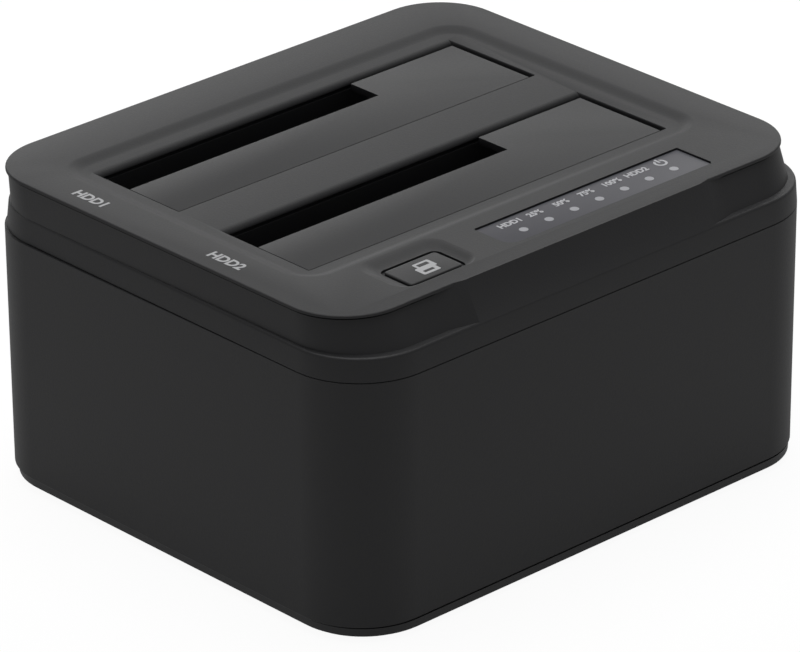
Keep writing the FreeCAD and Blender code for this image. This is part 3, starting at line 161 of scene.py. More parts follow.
def make_materials(look):
    """Every finish on the object, by a plain name. Each comment says what it gives the eye."""
    case, window = look.case_colour, look.window_colour
    plastics = {
        # A satin black that greys where light grazes it; the grain keeps its highlights broad.
        "case": dict(name="moulded ABS, spark-eroded grain", colour=case, roughness=0.52,
                     grain_mm=0.45, grain_depth=0.35),
        # A paler, slightly smoother band that shows the base as a part of its own.
        "base": dict(name="moulded ABS, smooth black", colour=hex_colour("2B2B2D"),
                     roughness=0.45, grain_mm=0.5, grain_depth=0.15),
        # A touch glossier than the case, so that each door reads as a lid in its mouth.
        "flap": dict(name="moulded ABS door, fine grain", colour=case, roughness=0.50,
                     grain_mm=0.40, grain_depth=0.30),
        # Dull walls that let the bays fall into black.
        "well": dict(name="moulded ABS, deep black", colour=hex_colour("262628"), roughness=0.55,
                     grain_mm=0.6, grain_depth=0.15),
        # The finest grain, with a soft sheen where a finger would press.
        "button": dict(name="moulded ABS key cap", colour=case, roughness=0.48, grain_mm=0.35,
                       grain_depth=0.2),
        # A cool grey strip that catches the most light of all the top.
        "window": dict(name="smoked acrylic, matt hard coat", colour=window, roughness=0.42,
                       grain_mm=0.3, grain_depth=0.08, mottle=0.02, ior=1.49),
        # Flat pale strokes with no shine of their own.
        "ink": dict(name="screen-printed ink, pale grey", colour=hex_colour("DADADC"),
                    roughness=0.6, grain_mm=0.3, grain_depth=0.1),
        # Brighter ink, to stay legible on the grey strip.
        "window ink": dict(name="screen-printed ink, white", colour=hex_colour("E2E2E6"),
                           roughness=0.6, grain_mm=0.3, grain_depth=0.1),
        # Milky dots that look switched off.
        "light": dict(name="diffusing polycarbonate, unlit", colour=hex_colour("BEBEC4"),
                      roughness=0.35, grain_mm=0.3, grain_depth=0.05, mottle=0.02, ior=1.58),
        # The dullest black, under the base.
        "rubber": dict(name="silicone rubber foot", colour=hex_colour("1A1A1A"), roughness=0.75,
                       grain_mm=0.8, grain_depth=0.3, mottle=0.1, ior=1.41),
        # Hard black of sockets and switch, a shade deeper than the case round them.
        "nylon": dict(name="glass-filled nylon, black", colour=hex_colour("141414"),
                      roughness=0.5, grain_mm=0.5, grain_depth=0.2),
        # The one strong colour, in the rear socket.
        "blue": dict(name="moulded PBT, socket blue", colour=hex_colour("1E4FA0"), roughness=0.4,
                     grain_mm=0.5, grain_depth=0.1),
        # Dark green with the gloss of a lacquer.
        "laminate": dict(name="glass-epoxy board, green solder mask", colour=hex_colour("123D24"),
                         roughness=0.35, grain_mm=0.9, grain_depth=0.2),
        # Matt charcoal blocks on the board.
        "epoxy": dict(name="moulded epoxy chip", colour=hex_colour("1C1C1C"), roughness=0.6,
                      grain_mm=0.5, grain_depth=0.2),
        # Soft red insulation.
        "lead": dict(name="PVC lead sleeve, red", colour=hex_colour("8C1B16"), roughness=0.45,
                     grain_mm=0.6, grain_depth=0.1),
        # Soft grey insulation.
        "ribbon": dict(name="PVC ribbon sleeve, grey", colour=hex_colour("8E9093"),
                       roughness=0.5, grain_mm=0.6, grain_depth=0.1),
        # Cream plugs that stand out from the boards.
        "header": dict(name="moulded nylon header, cream", colour=hex_colour("D9D4C3"),
                       roughness=0.5, grain_mm=0.6, grain_depth=0.1),
        # Smooth and pale, the glossiest plastic here.
        "clear": dict(name="clear polycarbonate light pipe", colour=hex_colour("C9CBCD"),
                      roughness=0.25, grain_mm=0.4, grain_depth=0.05, mottle=0.02, ior=1.58),
    }
    metals = {
        # Bright grey pins, springs and screw heads.
        "steel": dict(name="zinc-plated steel", colour=hex_colour("B8B8B4"), roughness=0.35),
        # A warm, brushed rim round the rear socket.
        "nickel": dict(name="nickel-plated sheet", colour=hex_colour("C8C5BD"), roughness=0.28,
                       along=(1, 0.1, 1)),
        # Small glints in the sockets.
        "gold": dict(name="gold-flashed contact", colour=hex_colour("D9B45A"), roughness=0.25),
        # Upright draw lines on the round cans.
        "can": dict(name="drawn aluminium can", colour=hex_colour("C9CACC"), roughness=0.3,
                    along=(1, 1, 0.1)),
    }
    finishes = {name: moulded_plastic(**values) for name, values in plastics.items()}
    finishes.update({name: metal(**values) for name, values in metals.items()})
    return finishes


# ------------------------------------------------------------------ modelling

def deselect():
    """Go back to object mode with nothing selected."""
    if bpy.context.mode != "OBJECT":
        bpy.ops.object.mode_set(mode="OBJECT")
    bpy.ops.object.select_all(action="DESELECT")


def choose(piece):
    """Make one piece the only one selected, and active."""
    deselect()
    bpy.context.view_layer.objects.active = piece
    piece.select_set(True)


def pick(piece, kind, test):
    """In edit mode, select only the verts, edges or faces that pass a test."""
    choose(piece)
    bpy.ops.object.mode_set(mode="EDIT")
    bpy.ops.mesh.select_mode(type=kind[:-1].upper())
    bpy.ops.mesh.select_all(action="DESELECT")
    mesh = bmesh.from_edit_mesh(piece.data)
    for item in getattr(mesh, kind):
        if test(item):
            item.select_set(True)
    mesh.select_flush_mode()
    bmesh.update_edit_mesh(piece.data)


def modify(piece, kind, **settings):
    """Add a modifier to a piece and apply it."""
    choose(piece)
    modifier = piece.modifiers.new(kind.title(), kind)
    for name, value in settings.items():
        setattr(modifier, name, value)
    bpy.ops.object.modifier_apply(modifier=modifier.name)


def settle(piece):
    """Take a piece's place, turn and scale into its mesh."""
    choose(piece)
    bpy.ops.object.transform_apply(location=True, rotation=True, scale=True)
    return piece


def bar(name, x, y, length, width, z0, z1):
    """An upright square bar, in millimetres."""
    deselect()
    bpy.ops.mesh.primitive_cube_add(
        size=1, location=(x * MM, y * MM, (z0 + z1) / 2 * MM),
        scale=(length * MM, width * MM, (z1 - z0) * MM))
    bpy.context.active_object.name = name
    return settle(bpy.context.active_object)


def rod(name, x, y, z0, z1, radius, sides=32):
    """An upright round bar, in millimetres."""
    deselect()
    bpy.ops.mesh.primitive_cylinder_add(
        vertices=sides, radius=radius * MM, depth=(z1 - z0) * MM,
        location=(x * MM, y * MM, (z0 + z1) / 2 * MM))
    bpy.context.active_object.name = name
    return settle(bpy.context.active_object)


def at_height(z):
    """A test for the faces that look up from one height."""
    return lambda face: abs(face.calc_center_median().z - z * MM) < NEAR and face.normal.z > 0.9


def reshape(piece, z, old, new):
    """Carry the four corner arcs at one height from an old outline to a new one.
    An outline is (left, right, front, rear) and the radii of its corners, in millimetres:
    front left, front right, rear left, rear right."""
    middle = Vector(((old[0] + old[1]) / 2, (old[2] + old[3]) / 2, z)) * MM
    for number, (across, along) in enumerate(((0, 2), (1, 2), (0, 3), (1, 3)), start=4):
        pick(piece, "verts", lambda v: abs(v.co.z - middle.z) < NEAR
             and (v.co.x > middle.x) == (across == 1) and (v.co.y > middle.y) == (along == 3))
        bpy.ops.transform.translate(value=((new[across] - old[across]) * MM,
                                           (new[along] - old[along]) * MM, 0))
        ratio = new[number] / old[number]
        bpy.ops.transform.resize(value=(ratio, ratio, 1), center_override=(
            new[across] * MM, new[along] * MM, middle.z))


def stack(name, levels, corner, segments=10):
    """A round-cornered block drawn up through outlines, lowest first.
    Each level is (z, left, right, front, rear) in millimetres, then its corner radius where
    that changes: one for all, or front left, front right, rear left and rear right."""
    def outline(level):
        radius = level[5] if len(level) > 5 else corner
        return (*level[1:5], *(radius if isinstance(radius, tuple) else (radius,) * 4))

    z0, z1 = levels[0][0], levels[1][0]
    left, right, front, rear, *radii = outline(levels[0])
    piece = bar(name, (left + right) / 2, (front + rear) / 2, right - left, rear - front, z0, z1)
    for x, y, radius in zip((left, right) * 2, (front, front, rear, rear), radii):
        pick(piece, "edges", lambda e: all(abs(v.co.x - x * MM) + abs(v.co.y - y * MM) < NEAR
                                           for v in e.verts))
        bpy.ops.mesh.bevel(offset=radius * MM, segments=segments, affect="EDGES")
    reshape(piece, z1, outline(levels[0]), outline(levels[1]))
    for below, level in zip(levels[1:], levels[2:]):
        pick(piece, "faces", at_height(below[0]))
        bpy.ops.mesh.extrude_region_move(
            TRANSFORM_OT_translate={"value": (0, 0, (level[0] - below[0]) * MM)})
        if outline(level) != outline(below):
            reshape(piece, level[0], outline(below), outline(level))
    bpy.ops.object.mode_set(mode="OBJECT")
    return piece


def combine(piece, others, operation="DIFFERENCE"):
    """Carve others out of a piece, or weld them to it, and remove them."""
    for other in others:
        modify(piece, "BOOLEAN", operation=operation, solver="EXACT", object=other)
        bpy.data.objects.remove(other, do_unlink=True)
    return piece


def dress(piece, body, material, slot, *nodes):
    """Shade a finished piece, give it its finish and set it to move with its body."""
    settle(piece)
    piece.data.materials.clear()
    piece.data.materials.append(material)
    bpy.ops.object.shade_smooth_by_angle(angle=math.radians(28))
    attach(piece, body)
    if nodes:
        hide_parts(*nodes)


def refine(node, width):
    """A CAD solid as a clean mesh with its sharp edges softened, by a width in millimetres."""
    source = NODES[node]
    piece = source.copy()
    piece.data = source.data.copy()
    piece.parent = None
    bpy.context.scene.collection.objects.link(piece)
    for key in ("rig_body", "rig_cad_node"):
        if key in piece:
            del piece[key]
    piece.name = f"{node}_moulding"
    pick(piece, "verts", lambda v: True)
    bpy.ops.mesh.remove_doubles(threshold=2e-6)
    bpy.ops.mesh.dissolve_limited(angle_limit=math.radians(1.0))
    bpy.ops.object.mode_set(mode="OBJECT")
    piece.data.validate()
    modify(piece, "BEVEL", width=width * MM, segments=2, limit_method="ANGLE",
           angle_limit=math.radians(40), harden_normals=False)
    return piece


def lay_flat(piece):
    """Turn a piece modelled upright so that its top faces the rear."""
    piece.rotation_euler = (-math.pi / 2, 0, 0)
    return settle(piece)


def lettering(text, x, y, top, height, weight, turn, ink, slot):
    """A printed word centred at x, y, its ink a few hundredths of a millimetre thick.
    The weight is how far its strokes are fattened, in millimetres."""
    half_thickness = 0.015
    deselect()
    bpy.ops.object.text_add()
    word = bpy.context.active_object
    word.data.body = text
    word.data.align_x = "CENTER"
    word.data.align_y = "CENTER"
    word.data.size = height / CAPITALS * MM
    word.data.extrude = half_thickness * MM
    word.data.offset = weight * MM
    word.data.resolution_u = 4
    bpy.ops.object.convert(target="MESH")
    word.location = (x * MM, y * MM, (top - half_thickness) * MM)
    word.rotation_euler = (0, 0, turn)
    label = "".join(c if c.isalnum() else "_percent" for c in text)
    word.name = f"label_{label}"
    dress(word, "case", ink, slot)


# ------------------------------------------------------------------ sizes and colours to change

class DockLook(bpy.types.PropertyGroup):
    """Sizes and colours of the dressed dock."""

    case_colour: FloatVectorProperty(
        name="Case", description="Colour of the case, tray and doors", subtype="COLOR",
        size=4, min=0, max=1, default=hex_colour("1E1E20"))
    window_colour: FloatVectorProperty(
        name="Light strip", description="Colour of the smoked strip over the lights",
        subtype="COLOR", size=4, min=0, max=1, default=hex_colour("4B4B53"))
    lip_round: FloatProperty(
        name="Lip rounding", description="Radius along the cover's top edge",
        unit="LENGTH", min=0.0002, max=0.0008, default=0.0004)
    mouth_round: FloatProperty(
        name="Mouth rounding", description="Radius along the top edges of the bay mouths",
        unit="LENGTH", min=0.0003, max=0.002, default=0.0015)
    label_height: FloatProperty(
        name="Rim lettering", description="Capital height of the words on the rim",
        unit="LENGTH", min=0.001, max=0.004, default=0.0027)
    strip_label_height: FloatProperty(
        name="Strip lettering", description="Capital height of the words on the light strip",
        unit="LENGTH", min=0.001, max=0.003, default=0.0017)
    lens: FloatProperty(
        name="Lens", description="Focal length of the camera", unit="CAMERA", min=20, max=400,
        default=277.4)


MATERIALS = {}


# ------------------------------------------------------------------ sizes, in millimetres

def solid_box(node):
    """The low and high corners of a CAD solid, in millimetres, to a hundredth."""
    return [[round(value / MM, 2) for value in corner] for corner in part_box(node)]


def centre(node):
    """The middle of a CAD solid's box, in millimetres, to a hundredth."""
    return [round((low + high) / 2, 2) for low, high in zip(*solid_box(node))]


def face(node):
    """A CAD solid's extent in the rear wall: its range in X, then its range in Z."""
    (left, _, low), (right, _, high) = solid_box(node)
    return left, right, low, high


def around(x, y, half_length, half_width):
    """An outline (left, right, front, rear) centred on a point."""
    return x - half_length, x + half_length, y - half_width, y + half_width


def grown(outline, margin):
    """An outline let out by one margin on all four sides."""
    left, right, low, high = outline
    return left - margin, right + margin, low - margin, high + margin


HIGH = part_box("top_cover")[1] / MM
HALF_X, HALF_Y, TOP = HIGH.x, HIGH.y, HIGH.z - 0.04  # the rim lies a hair under the CAD's top
SEAM = solid_box("top_cover")[0][2]  # the parting line between the housing and the cover
CEILING = solid_box("drive_well_1")[1][2]  # the underside of the top
TRAY = solid_box("flap_1")[1][2]  # the sunk field, flush with the closed doors
BELOW, ABOVE = 60, 80  # clear of the cover's top on either side, for cutters

CASE_CORNER = 17.5  # the radius of the case's upright corners
LEDGE, LEDGE_ROUND = 65.0, 0.7  # where the shoulder ends, and its edge's radius
LIP = (1.2, 5.4, 14.8)  # how far the rim is set in at the sides and the front; its corners

DOORS = ("flap_1", "flap_2")
GAP_LEFT, GAP_RIGHT, GAP_REAR = 0.2, 1.6, 1.9  # between each closed door and its mouth
DOOR_LEFT = solid_box(DOORS[0])[0][0]
BAY_LEFT = DOOR_LEFT - GAP_LEFT
BAY_RIGHT = solid_box(DOORS[0])[1][0] + GAP_RIGHT
BAY_REARS = [solid_box(door)[1][1] + GAP_REAR for door in DOORS]
BAY_DEPTH = 26.6  # front to rear

BUTTON_X, BUTTON_Y, _ = centre("clone_button")
BUTTON_TOP = solid_box("clone_button")[1][2]
CAP = around(BUTTON_X, BUTTON_Y, 7.3, 4.35)
CAP_HOLE = around(BUTTON_X, BUTTON_Y, 8.1, 5.15)
CAP_ROUND = 0.4  # along the cap's top edge

STRIP_LOW, STRIP_HIGH = solid_box("led_window")
STRIP = (STRIP_LOW[0], STRIP_HIGH[0], STRIP_LOW[1], STRIP_HIGH[1])
STRIP_SEAT, STRIP_TOP = STRIP_LOW[2], STRIP_HIGH[2]
LIGHT_X, LIGHT_Y, _ = centre("light_pipes")
LIGHT_SPACING = 7.35
LIGHTS = [LIGHT_X + LIGHT_SPACING * k for k in range(-3, 4)]
WORDS_Y = -41.5

PRINT = 0.02  # how far a printed mark lies below and above its surface


def inset(z, side, front, corner):
    """A level of the case's outline: how far it is set in from the overall size at the two
    sides and at the front and rear, and its corner radius."""
    return (z, side - HALF_X, HALF_X - side, front - HALF_Y, HALF_Y - side, corner)


def arc_steps(count=4):
    """How far in and how far down a quarter round is, step by step, for a radius of one."""
    for i in range(1, count + 1):
        angle = i / count * math.pi / 2
        yield 1 - math.cos(angle), 1 - math.sin(angle)


def soft_steps(count=6):
    """Position and height along a soft slope that starts and ends level."""
    for i in range(count + 1):
        t = i / count
        yield t, t * t * (3 - 2 * t)


# ------------------------------------------------------------------ the dock, piece by piece

class DOCK_OT_top_cover(bpy.types.Operator):
    """Model the top cover: shoulder, crown, brow, tray, bay mouths, dish and strip recess"""

    bl_idname = "dock.top_cover"
    bl_label = "Top cover"

    def execute(self, context):
        look = context.scene.dock_look
        cover = combine(self.shell(look), [self.brow()], "UNION")
        combine(cover, [self.hollow(), self.tray()]
                + [self.mouth(look, rear) for rear in BAY_REARS]
                + [self.undercut(look, rear) for rear in BAY_REARS])
        combine(cover, [self.dish(), self.button_hole(), self.strip_recess()])
        combine(cover, self.bores())
        combine(cover, self.posts(), "UNION")
        dress(cover, "case", MATERIALS["case"], "case_plastic", "top_cover")
        return {"FINISHED"}

    def shell(self, look):
        """Shoulder with a rounded ledge, then the crown, leaning back at the front, and its
        overhanging lip with a shadow groove beneath."""
        shoulder = [inset(SEAM - 0.27, 0.1, 0.1, CASE_CORNER - 0.1),
                    inset(SEAM - 0.17, 0, 0, CASE_CORNER)]
        ledge = self.rounded(LEDGE, LEDGE_ROUND, 0.3, 0.3, CASE_CORNER - 0.3)
        crown = [inset(LEDGE + 0.03, 1.3, 2.2, 16.6), inset(71.85, 1.7, 5.9, 14.4)]
        groove = [inset(71.88, 2.1, 6.3, 14.0), inset(72.32, 2.1, 6.3, 14.0)]
        lip = [inset(72.35, *LIP)] + self.rounded(TOP, look.lip_round / MM, *LIP)
        levels = shoulder + ledge + crown + groove + lip
        shell = stack("top_cover_moulding", levels, CASE_CORNER - 0.1, 16)
        self.run_out(shell, levels)
        return shell

    def rounded(self, top, radius, side, front, corner):
        """The levels of a quarter round that ends at a height."""
        levels = [inset(top - radius, side, front, corner)]
        for out, down in arc_steps():
            across = radius * out
            levels.append(inset(top - radius * down, side + across, front + across,
                                corner - across))
        return levels

    def run_out(self, shell, levels):
        """Narrow the shoulder's rear half so that the ledge runs out towards the rear."""
        narrowing, draft = 1.3, 0.13
        for z, _, right, *_ in levels:
            if z < LEDGE + 0.01:
                pick(shell, "verts", lambda v: v.co.y > 0 and abs(v.co.z - z * MM) < NEAR)
                side = HALF_X - narrowing + draft * (LEDGE - z)
                bpy.ops.transform.resize(value=(side / right, 1, 1), center_override=(0, 0, 0))
        bpy.ops.object.mode_set(mode="OBJECT")

    def brow(self):
        """The middle of the front stands proud, with a ramp at each end."""
        foot_length, length, lean = 84.0, 68.0, 4.5
        brow = bar("brow", 0, -59.1, foot_length, 1.6, LEDGE - 0.2, TOP)
        pick(brow, "verts", lambda v: v.co.y < -59.5 * MM)
        bpy.ops.transform.resize(value=(length / foot_length, 1, 1), center_override=(0, 0, 0))
        pick(brow, "verts", lambda v: v.co.z > CEILING * MM)
        bpy.ops.transform.translate(value=(0, lean * MM, 0))
        bpy.ops.object.mode_set(mode="OBJECT")
        return brow

    def hollow(self):
        """The space under the cover, narrower towards the ceiling."""
        return stack("hollow", [inset(SEAM - 1, 2.2, 2.2, 15.3), inset(SEAM, 2.2, 2.2, 15.3),
                                inset(CEILING, 3.9, 6.6, 12.2)], 15.3)

    def tray(self):
        """The sunk field round both bays, with a soft slope up to the rim."""
        half_length, front, rear, corner = 54.9, -31.2, 42.4, 4.4
        slope, front_slope = 3.6, 3.3
        levels = [(TRAY + height * (TOP - TRAY), -half_length - slope * t,
                   half_length + slope * t, front - front_slope * t, rear + slope * t,
                   corner + slope * t) for t, height in soft_steps(8)]
        levels.append((TOP + 1, *levels[-1][1:]))
        return stack("tray_cutter", levels, corner)

    def mouth(self, look, rear):
        """A bay mouth, rounded over at the rear and sharp at its ends and its door's hinge."""
        front, radius, flare = rear - BAY_DEPTH, look.mouth_round / MM, 0.2
        levels = [(CEILING - 2, BAY_LEFT, BAY_RIGHT, front, rear),
                  (TRAY - radius, BAY_LEFT, BAY_RIGHT, front, rear)]
        for out, down in arc_steps(5):
            levels.append((TRAY - radius * down, BAY_LEFT - flare * out,
                           BAY_RIGHT + flare * out, front, rear + radius * out))
        levels.append((TRAY + 2, BAY_LEFT - flare, BAY_RIGHT + flare, front, rear + radius))
        return stack("mouth_cutter", levels, 0.3, 3)

    def undercut(self, look, rear):
        """Thins the mouth's rear edge from below, where the dark well begins."""
        length, width = BAY_RIGHT - BAY_LEFT - 0.2, 4.4
        low, high = 68.0, TRAY - look.mouth_round / MM + 0.2
        return bar("undercut_cutter", (BAY_LEFT + BAY_RIGHT) / 2, rear - 1.0, length, width,
                   low, high)

    def dish(self):
        """The hollow round the button, steep in front and drawn out to the tray behind."""
        left, right, front, rear = grown(CAP_HOLE, 0.2)
        corner, side_slope, front_slope, rear_slope = 2.0, 3.0, 0.7, 4.0
        levels = [(TRAY + height * (TOP - TRAY), left - side_slope * t, right + side_slope * t,
                   front - front_slope * t, rear + rear_slope * t, corner + 2.0 * t)
                  for t, height in soft_steps()]
        levels.append((TOP + 1, *levels[-1][1:]))
        return stack("dish_cutter", levels, corner)

    def button_hole(self):
        """The opening that the button's cap travels in."""
        return stack("hole_cutter", [(BELOW, *CAP_HOLE), (ABOVE, *CAP_HOLE)], 1.9, 6)

    def strip_recess(self):
        """The seat of the light strip, its front left corner the roundest."""
        outline = grown(STRIP, 0.2)
        return stack("strip_cutter", [(STRIP_SEAT, *outline), (ABOVE, *outline)],
                     (3.0, 1.0, 0.4, 0.4), 8)

    def bores(self):
        """Square holes that bring each light pipe up to the strip."""
        return [bar("bore", x, LIGHT_Y, 2.8, 2.0, 69.0, 74.0) for x in LIGHTS]

    def posts(self):
        """Square pegs and screw posts under the cover: x, y, width and lower end."""
        spots = [(x, y, 3.0, 66.9) for x in (-57.5, 57.5) for y in (-47.5, 47.5)]
        spots += [(x, LIGHT_Y, 5.0, 63.4) for x in (-46.7, 48.0)]
        spots += [(x, rear - 13.5, 5.0, 66.9) for x in (-57.4, 55.8) for rear in BAY_REARS]
        return [bar("post", x, y, width, width, z, CEILING + 0.5) for x, y, width, z in spots]


class DOCK_OT_housing(bpy.types.Operator):
    """Model the housing: tapered walls, tongue, socket recess and its three openings"""

    bl_idname = "dock.housing"
    bl_label = "Housing"

    recess = (-32.0, 44.0, 8.6, 27.6)  # left, right, low and high, in the rear wall
    recess_floor, inside, outside = 57.4, 54, 62  # how far back, in Y

    def execute(self, context):
        walls = [inset(3.55, 0.5, 1.0, 16.4), inset(3.7, 0.4, 0.9, 16.5),
                 inset(59.4, 0, 0, CASE_CORNER), inset(59.5, 0.1, 0.1, CASE_CORNER - 0.1)]
        tongue = [inset(59.52, 1.3, 1.3, 16.2), inset(61.1, 1.3, 1.3, 16.2)]
        housing = stack("housing_moulding", walls + tongue, 16.4, 16)
        skirt = [inset(3.3, 1.35, 1.35, 15.8), inset(4.0, 1.35, 1.35, 15.8)]
        room = [inset(4.05, 3.1, 3.1, 14.2), inset(62, 2.2, 2.2, 15.3)]
        combine(housing, [stack("hollow", skirt + room, 15.8, 12)])
        combine(housing, [self.thickening(2.2)], "UNION")
        combine(housing, self.openings())
        dress(housing, "case", MATERIALS["case"], "case_plastic", "housing")
        return {"FINISHED"}

    def thickening(self, margin):
        """More wall behind the recess and round it, for its floor to be cut from."""
        left, right, low, high = grown(self.recess, margin)
        return stack("thick", [(z, left, right, 55.2, 58.6) for z in (low, high)], 0.5, 2)

    def openings(self):
        """Cutters for the recess and, through its floor, the USB socket, switch and jack."""
        usb = grown(face("usb_shell"), 0.3)
        left, right, low, high = face("switch_frame")
        switch = (left + 0.8, right - 0.8, low + 0.7, high - 0.7)
        jack_x, _, jack_z = centre("dc_jack_body")
        return [self.opening(self.recess, self.recess_floor, 1.5, 6),
                self.opening(usb, self.inside, 0.3, 3),
                self.opening(switch, self.inside, 0.3, 3),
                lay_flat(rod("cutter", jack_x, -jack_z, self.inside, self.outside, 4.3))]

    def opening(self, outline, depth, corner, segments):
        """A cutter for the rear wall, from a depth in Y out through the wall."""
        left, right, low, high = outline
        levels = [(y, left, right, -high, -low) for y in (depth, self.outside)]
        return lay_flat(stack("cutter", levels, corner, segments))


class DOCK_OT_base(bpy.types.Operator):
    """Finish the base plate and give it the thin rim that shows below the housing"""

    bl_idname = "dock.base"
    bl_label = "Base plate"

    def execute(self, context):
        levels = [inset(0.83, 2.4, 2.3, 15.2), inset(1.25, 1.4, 1.25, 16.0),
                  inset(1.45, 1.1, 0.97, 16.2), inset(3.2, 0.95, 0.95, 16.2)]
        rim = stack("rim", levels, 16.2, 16)
        combine(rim, [stack("hollow", [inset(z, 2.8, 2.8, 14.6) for z in (0, 4)], 14.6, 12)])
        base = combine(refine("base_plate", 0.15), [rim], "UNION")
        dress(base, "case", MATERIALS["base"], "base_plastic", "base_plate")
        return {"FINISHED"}


class DOCK_OT_flaps(bpy.types.Operator):
    """Finish the two sprung flap doors with soft moulded edges"""

    bl_idname = "dock.flaps"
    bl_label = "Flap doors"

    hairline = 0.01

    def execute(self, context):
        for node in DOORS:
            door = refine(node, 0.04)
            # The left end is carried out until it leaves only a hairline beside its mouth.
            pick(door, "verts", lambda v: v.co.x < (DOOR_LEFT + 0.1) * MM and v.co.z > 70 * MM)
            bpy.ops.transform.translate(value=((self.hairline - GAP_LEFT) * MM, 0, 0))
            dress(door, node, MATERIALS["flap"], "flap_plastic", node)
        return {"FINISHED"}


class DOCK_OT_button(bpy.types.Operator):
    """Model the clone button and its two-sheets symbol"""

    bl_idname = "dock.button"
    bl_label = "Clone button"

    def execute(self, context):
        cap = self.cap(1.0)
        # A step fills most of the gap, the flange keeps the cap in and the nub works the switch.
        step = stack("step", [(z, *grown(CAP, 0.7)) for z in (69.4, 71.65)], 1.7, 5)
        flange = stack("flange", [(z, *grown(CAP, 1.3)) for z in (68.6, 69.6)], 1.2, 4)
        nub = rod("nub", BUTTON_X, BUTTON_Y, 68.1, 68.7, 1.5, 24)
        combine(cap, [step, flange, nub], "UNION")
        dress(cap, "clone_button", MATERIALS["button"], "button_plastic", "clone_button")
        self.symbol()
        return {"FINISHED"}

    def cap(self, corner):
        """The part of the button that stands in the dish."""
        levels = [(69.5, *CAP), (BUTTON_TOP - CAP_ROUND, *CAP)]
        for out, down in arc_steps():
            across = CAP_ROUND * out
            levels.append((BUTTON_TOP - CAP_ROUND * down, *grown(CAP, -across),
                           corner - across))
        return stack("button_cap", levels, corner, 6)

    def symbol(self):
        """Two overlapping sheets in outline, printed on the cap."""
        def plate(name, outline, depth, corner):
            levels = [(BUTTON_TOP - depth, *outline), (BUTTON_TOP + depth, *outline)]
            return stack(name, levels, corner, 3)

        sheets = plate("copy_symbol", (-36.2, -31.75, -45.0, -41.8), PRINT, 0.4)
        combine(sheets, [plate("sheet", (-37.2, -32.5, -47.0, -43.75), PRINT, 0.4)], "UNION")
        combine(sheets, [plate("hole", (-35.55, -32.6, -43.6, -42.45), 1, 0.15),
                         plate("hole", (-36.3, -33.5, -46.2, -45.3), 1, 0.15)])
        dress(sheets, "clone_button", MATERIALS["ink"], "button_plastic")


class DOCK_OT_light_strip(bpy.types.Operator):
    """Model the smoked strip with its row of lights and their words"""

    bl_idname = "dock.light_strip"
    bl_label = "Light strip"

    def execute(self, context):
        self.strip()
        for number, x in enumerate(LIGHTS):
            dot = rod(f"light_{number + 1}", x, LIGHT_Y, STRIP_TOP - PRINT, STRIP_TOP + PRINT,
                      1.0, 40)
            dress(dot, "case", MATERIALS["light"], "pipe_plastic")
        height = context.scene.dock_look.strip_label_height / MM
        words = (("HDD1", -7.8), ("25%", -0.7), ("50%", 6.9), ("75%", 14.2), ("100%", 21.7),
                 ("HDD2", 29.1))  # each centred over its light
        for text, x in words:
            lettering(text, x, WORDS_Y, STRIP_TOP + 0.03, height, 0.1, 0,
                      MATERIALS["window ink"], "window_plastic")
        self.power_symbol(36.3, WORDS_Y)
        return {"FINISHED"}

    def strip(self):
        """The strip itself, its top edge broken by a small round."""
        radius, corners = 0.1, (2.8, 0.8, 0.3, 0.3)
        levels = [(STRIP_SEAT + 0.01, *STRIP), (STRIP_TOP - radius, *STRIP)]
        for out, down in arc_steps(3):
            across = radius * out
            levels.append((STRIP_TOP - radius * down, *grown(STRIP, -across),
                           tuple(corner - across for corner in corners)))
        strip = stack("light_strip", levels, corners, 8)
        dress(strip, "case", MATERIALS["window"], "window_plastic", "led_window")

    def power_symbol(self, x, y):
        """A ring open at the top with a bar through the gap."""
        low, high = STRIP_TOP - PRINT, STRIP_TOP + PRINT
        ring = rod("power_symbol", x, y, low, high, 1.55, 40)
        hole = rod("hole", x, y, STRIP_TOP - 1, STRIP_TOP + 1, 1.0, 32)
        gap = bar("gap", x, y + 1.3, 1.3, 2.0, STRIP_TOP - 1, STRIP_TOP + 1)
        combine(ring, [hole, gap])
        combine(ring, [bar("bar", x, y + 1.0, 0.55, 1.7, low, high)], "UNION")
        dress(ring, "case", MATERIALS["window ink"], "window_plastic")


class DOCK_OT_rim_lettering(bpy.types.Operator):
    """Print the bay names on the left rim"""

    bl_idname = "dock.rim_lettering"
    bl_label = "Rim lettering"

    def execute(self, context):
        height = context.scene.dock_look.label_height / MM
        for text, y in (("HDD1", 27.9), ("HDD2", -14.8)):
            lettering(text, -62.7, y, TOP + 0.03, height, 0.13, -math.pi / 2, MATERIALS["ink"],
                      "case_plastic")
        return {"FINISHED"}


class DOCK_OT_inner_finishes(bpy.types.Operator):
    """Give every solid that shows as it is its real finish"""

    bl_idname = "dock.inner_finishes"
    bl_label = "Wells, sockets and boards"

    def execute(self, context):
        finish_of = {
            "rubber": ("rubber_feet",),
            "well": ("drive_well_1", "drive_well_2"),
            "base": ("case_pillars",),
            "nylon": ("sata_receptacle_1", "sata_receptacle_2", "dc_jack_body", "switch_frame",
                      "power_rocker", "tact_switch", "tact_plunger"),
            "gold": ("sata_contacts_1", "sata_contacts_2", "dc_jack_pin", "switch_terminals"),
            "steel": ("case_screws", "well_screws_1", "well_screws_2", "board_screws",
                      "panel_screws", "flap_pin_1", "flap_pin_2", "flap_spring_1",
                      "flap_spring_2"),
            "nickel": ("usb_shell", "crystal"),
            "blue": ("usb_insert",),
            "laminate": ("main_board", "indicator_board"),
            "epoxy": ("bridge_chip", "flash_chip", "inductors"),
            "can": ("capacitors",),
            "clear": ("light_pipes", "led_chips"),
            "lead": ("switch_leads",),
            "ribbon": ("signal_ribbon",),
            "header": ("ribbon_headers",),
        }
        for name, nodes in finish_of.items():
            for node in nodes:
                NODES[node].material_slots[0].material = MATERIALS[name]
        return {"FINISHED"}


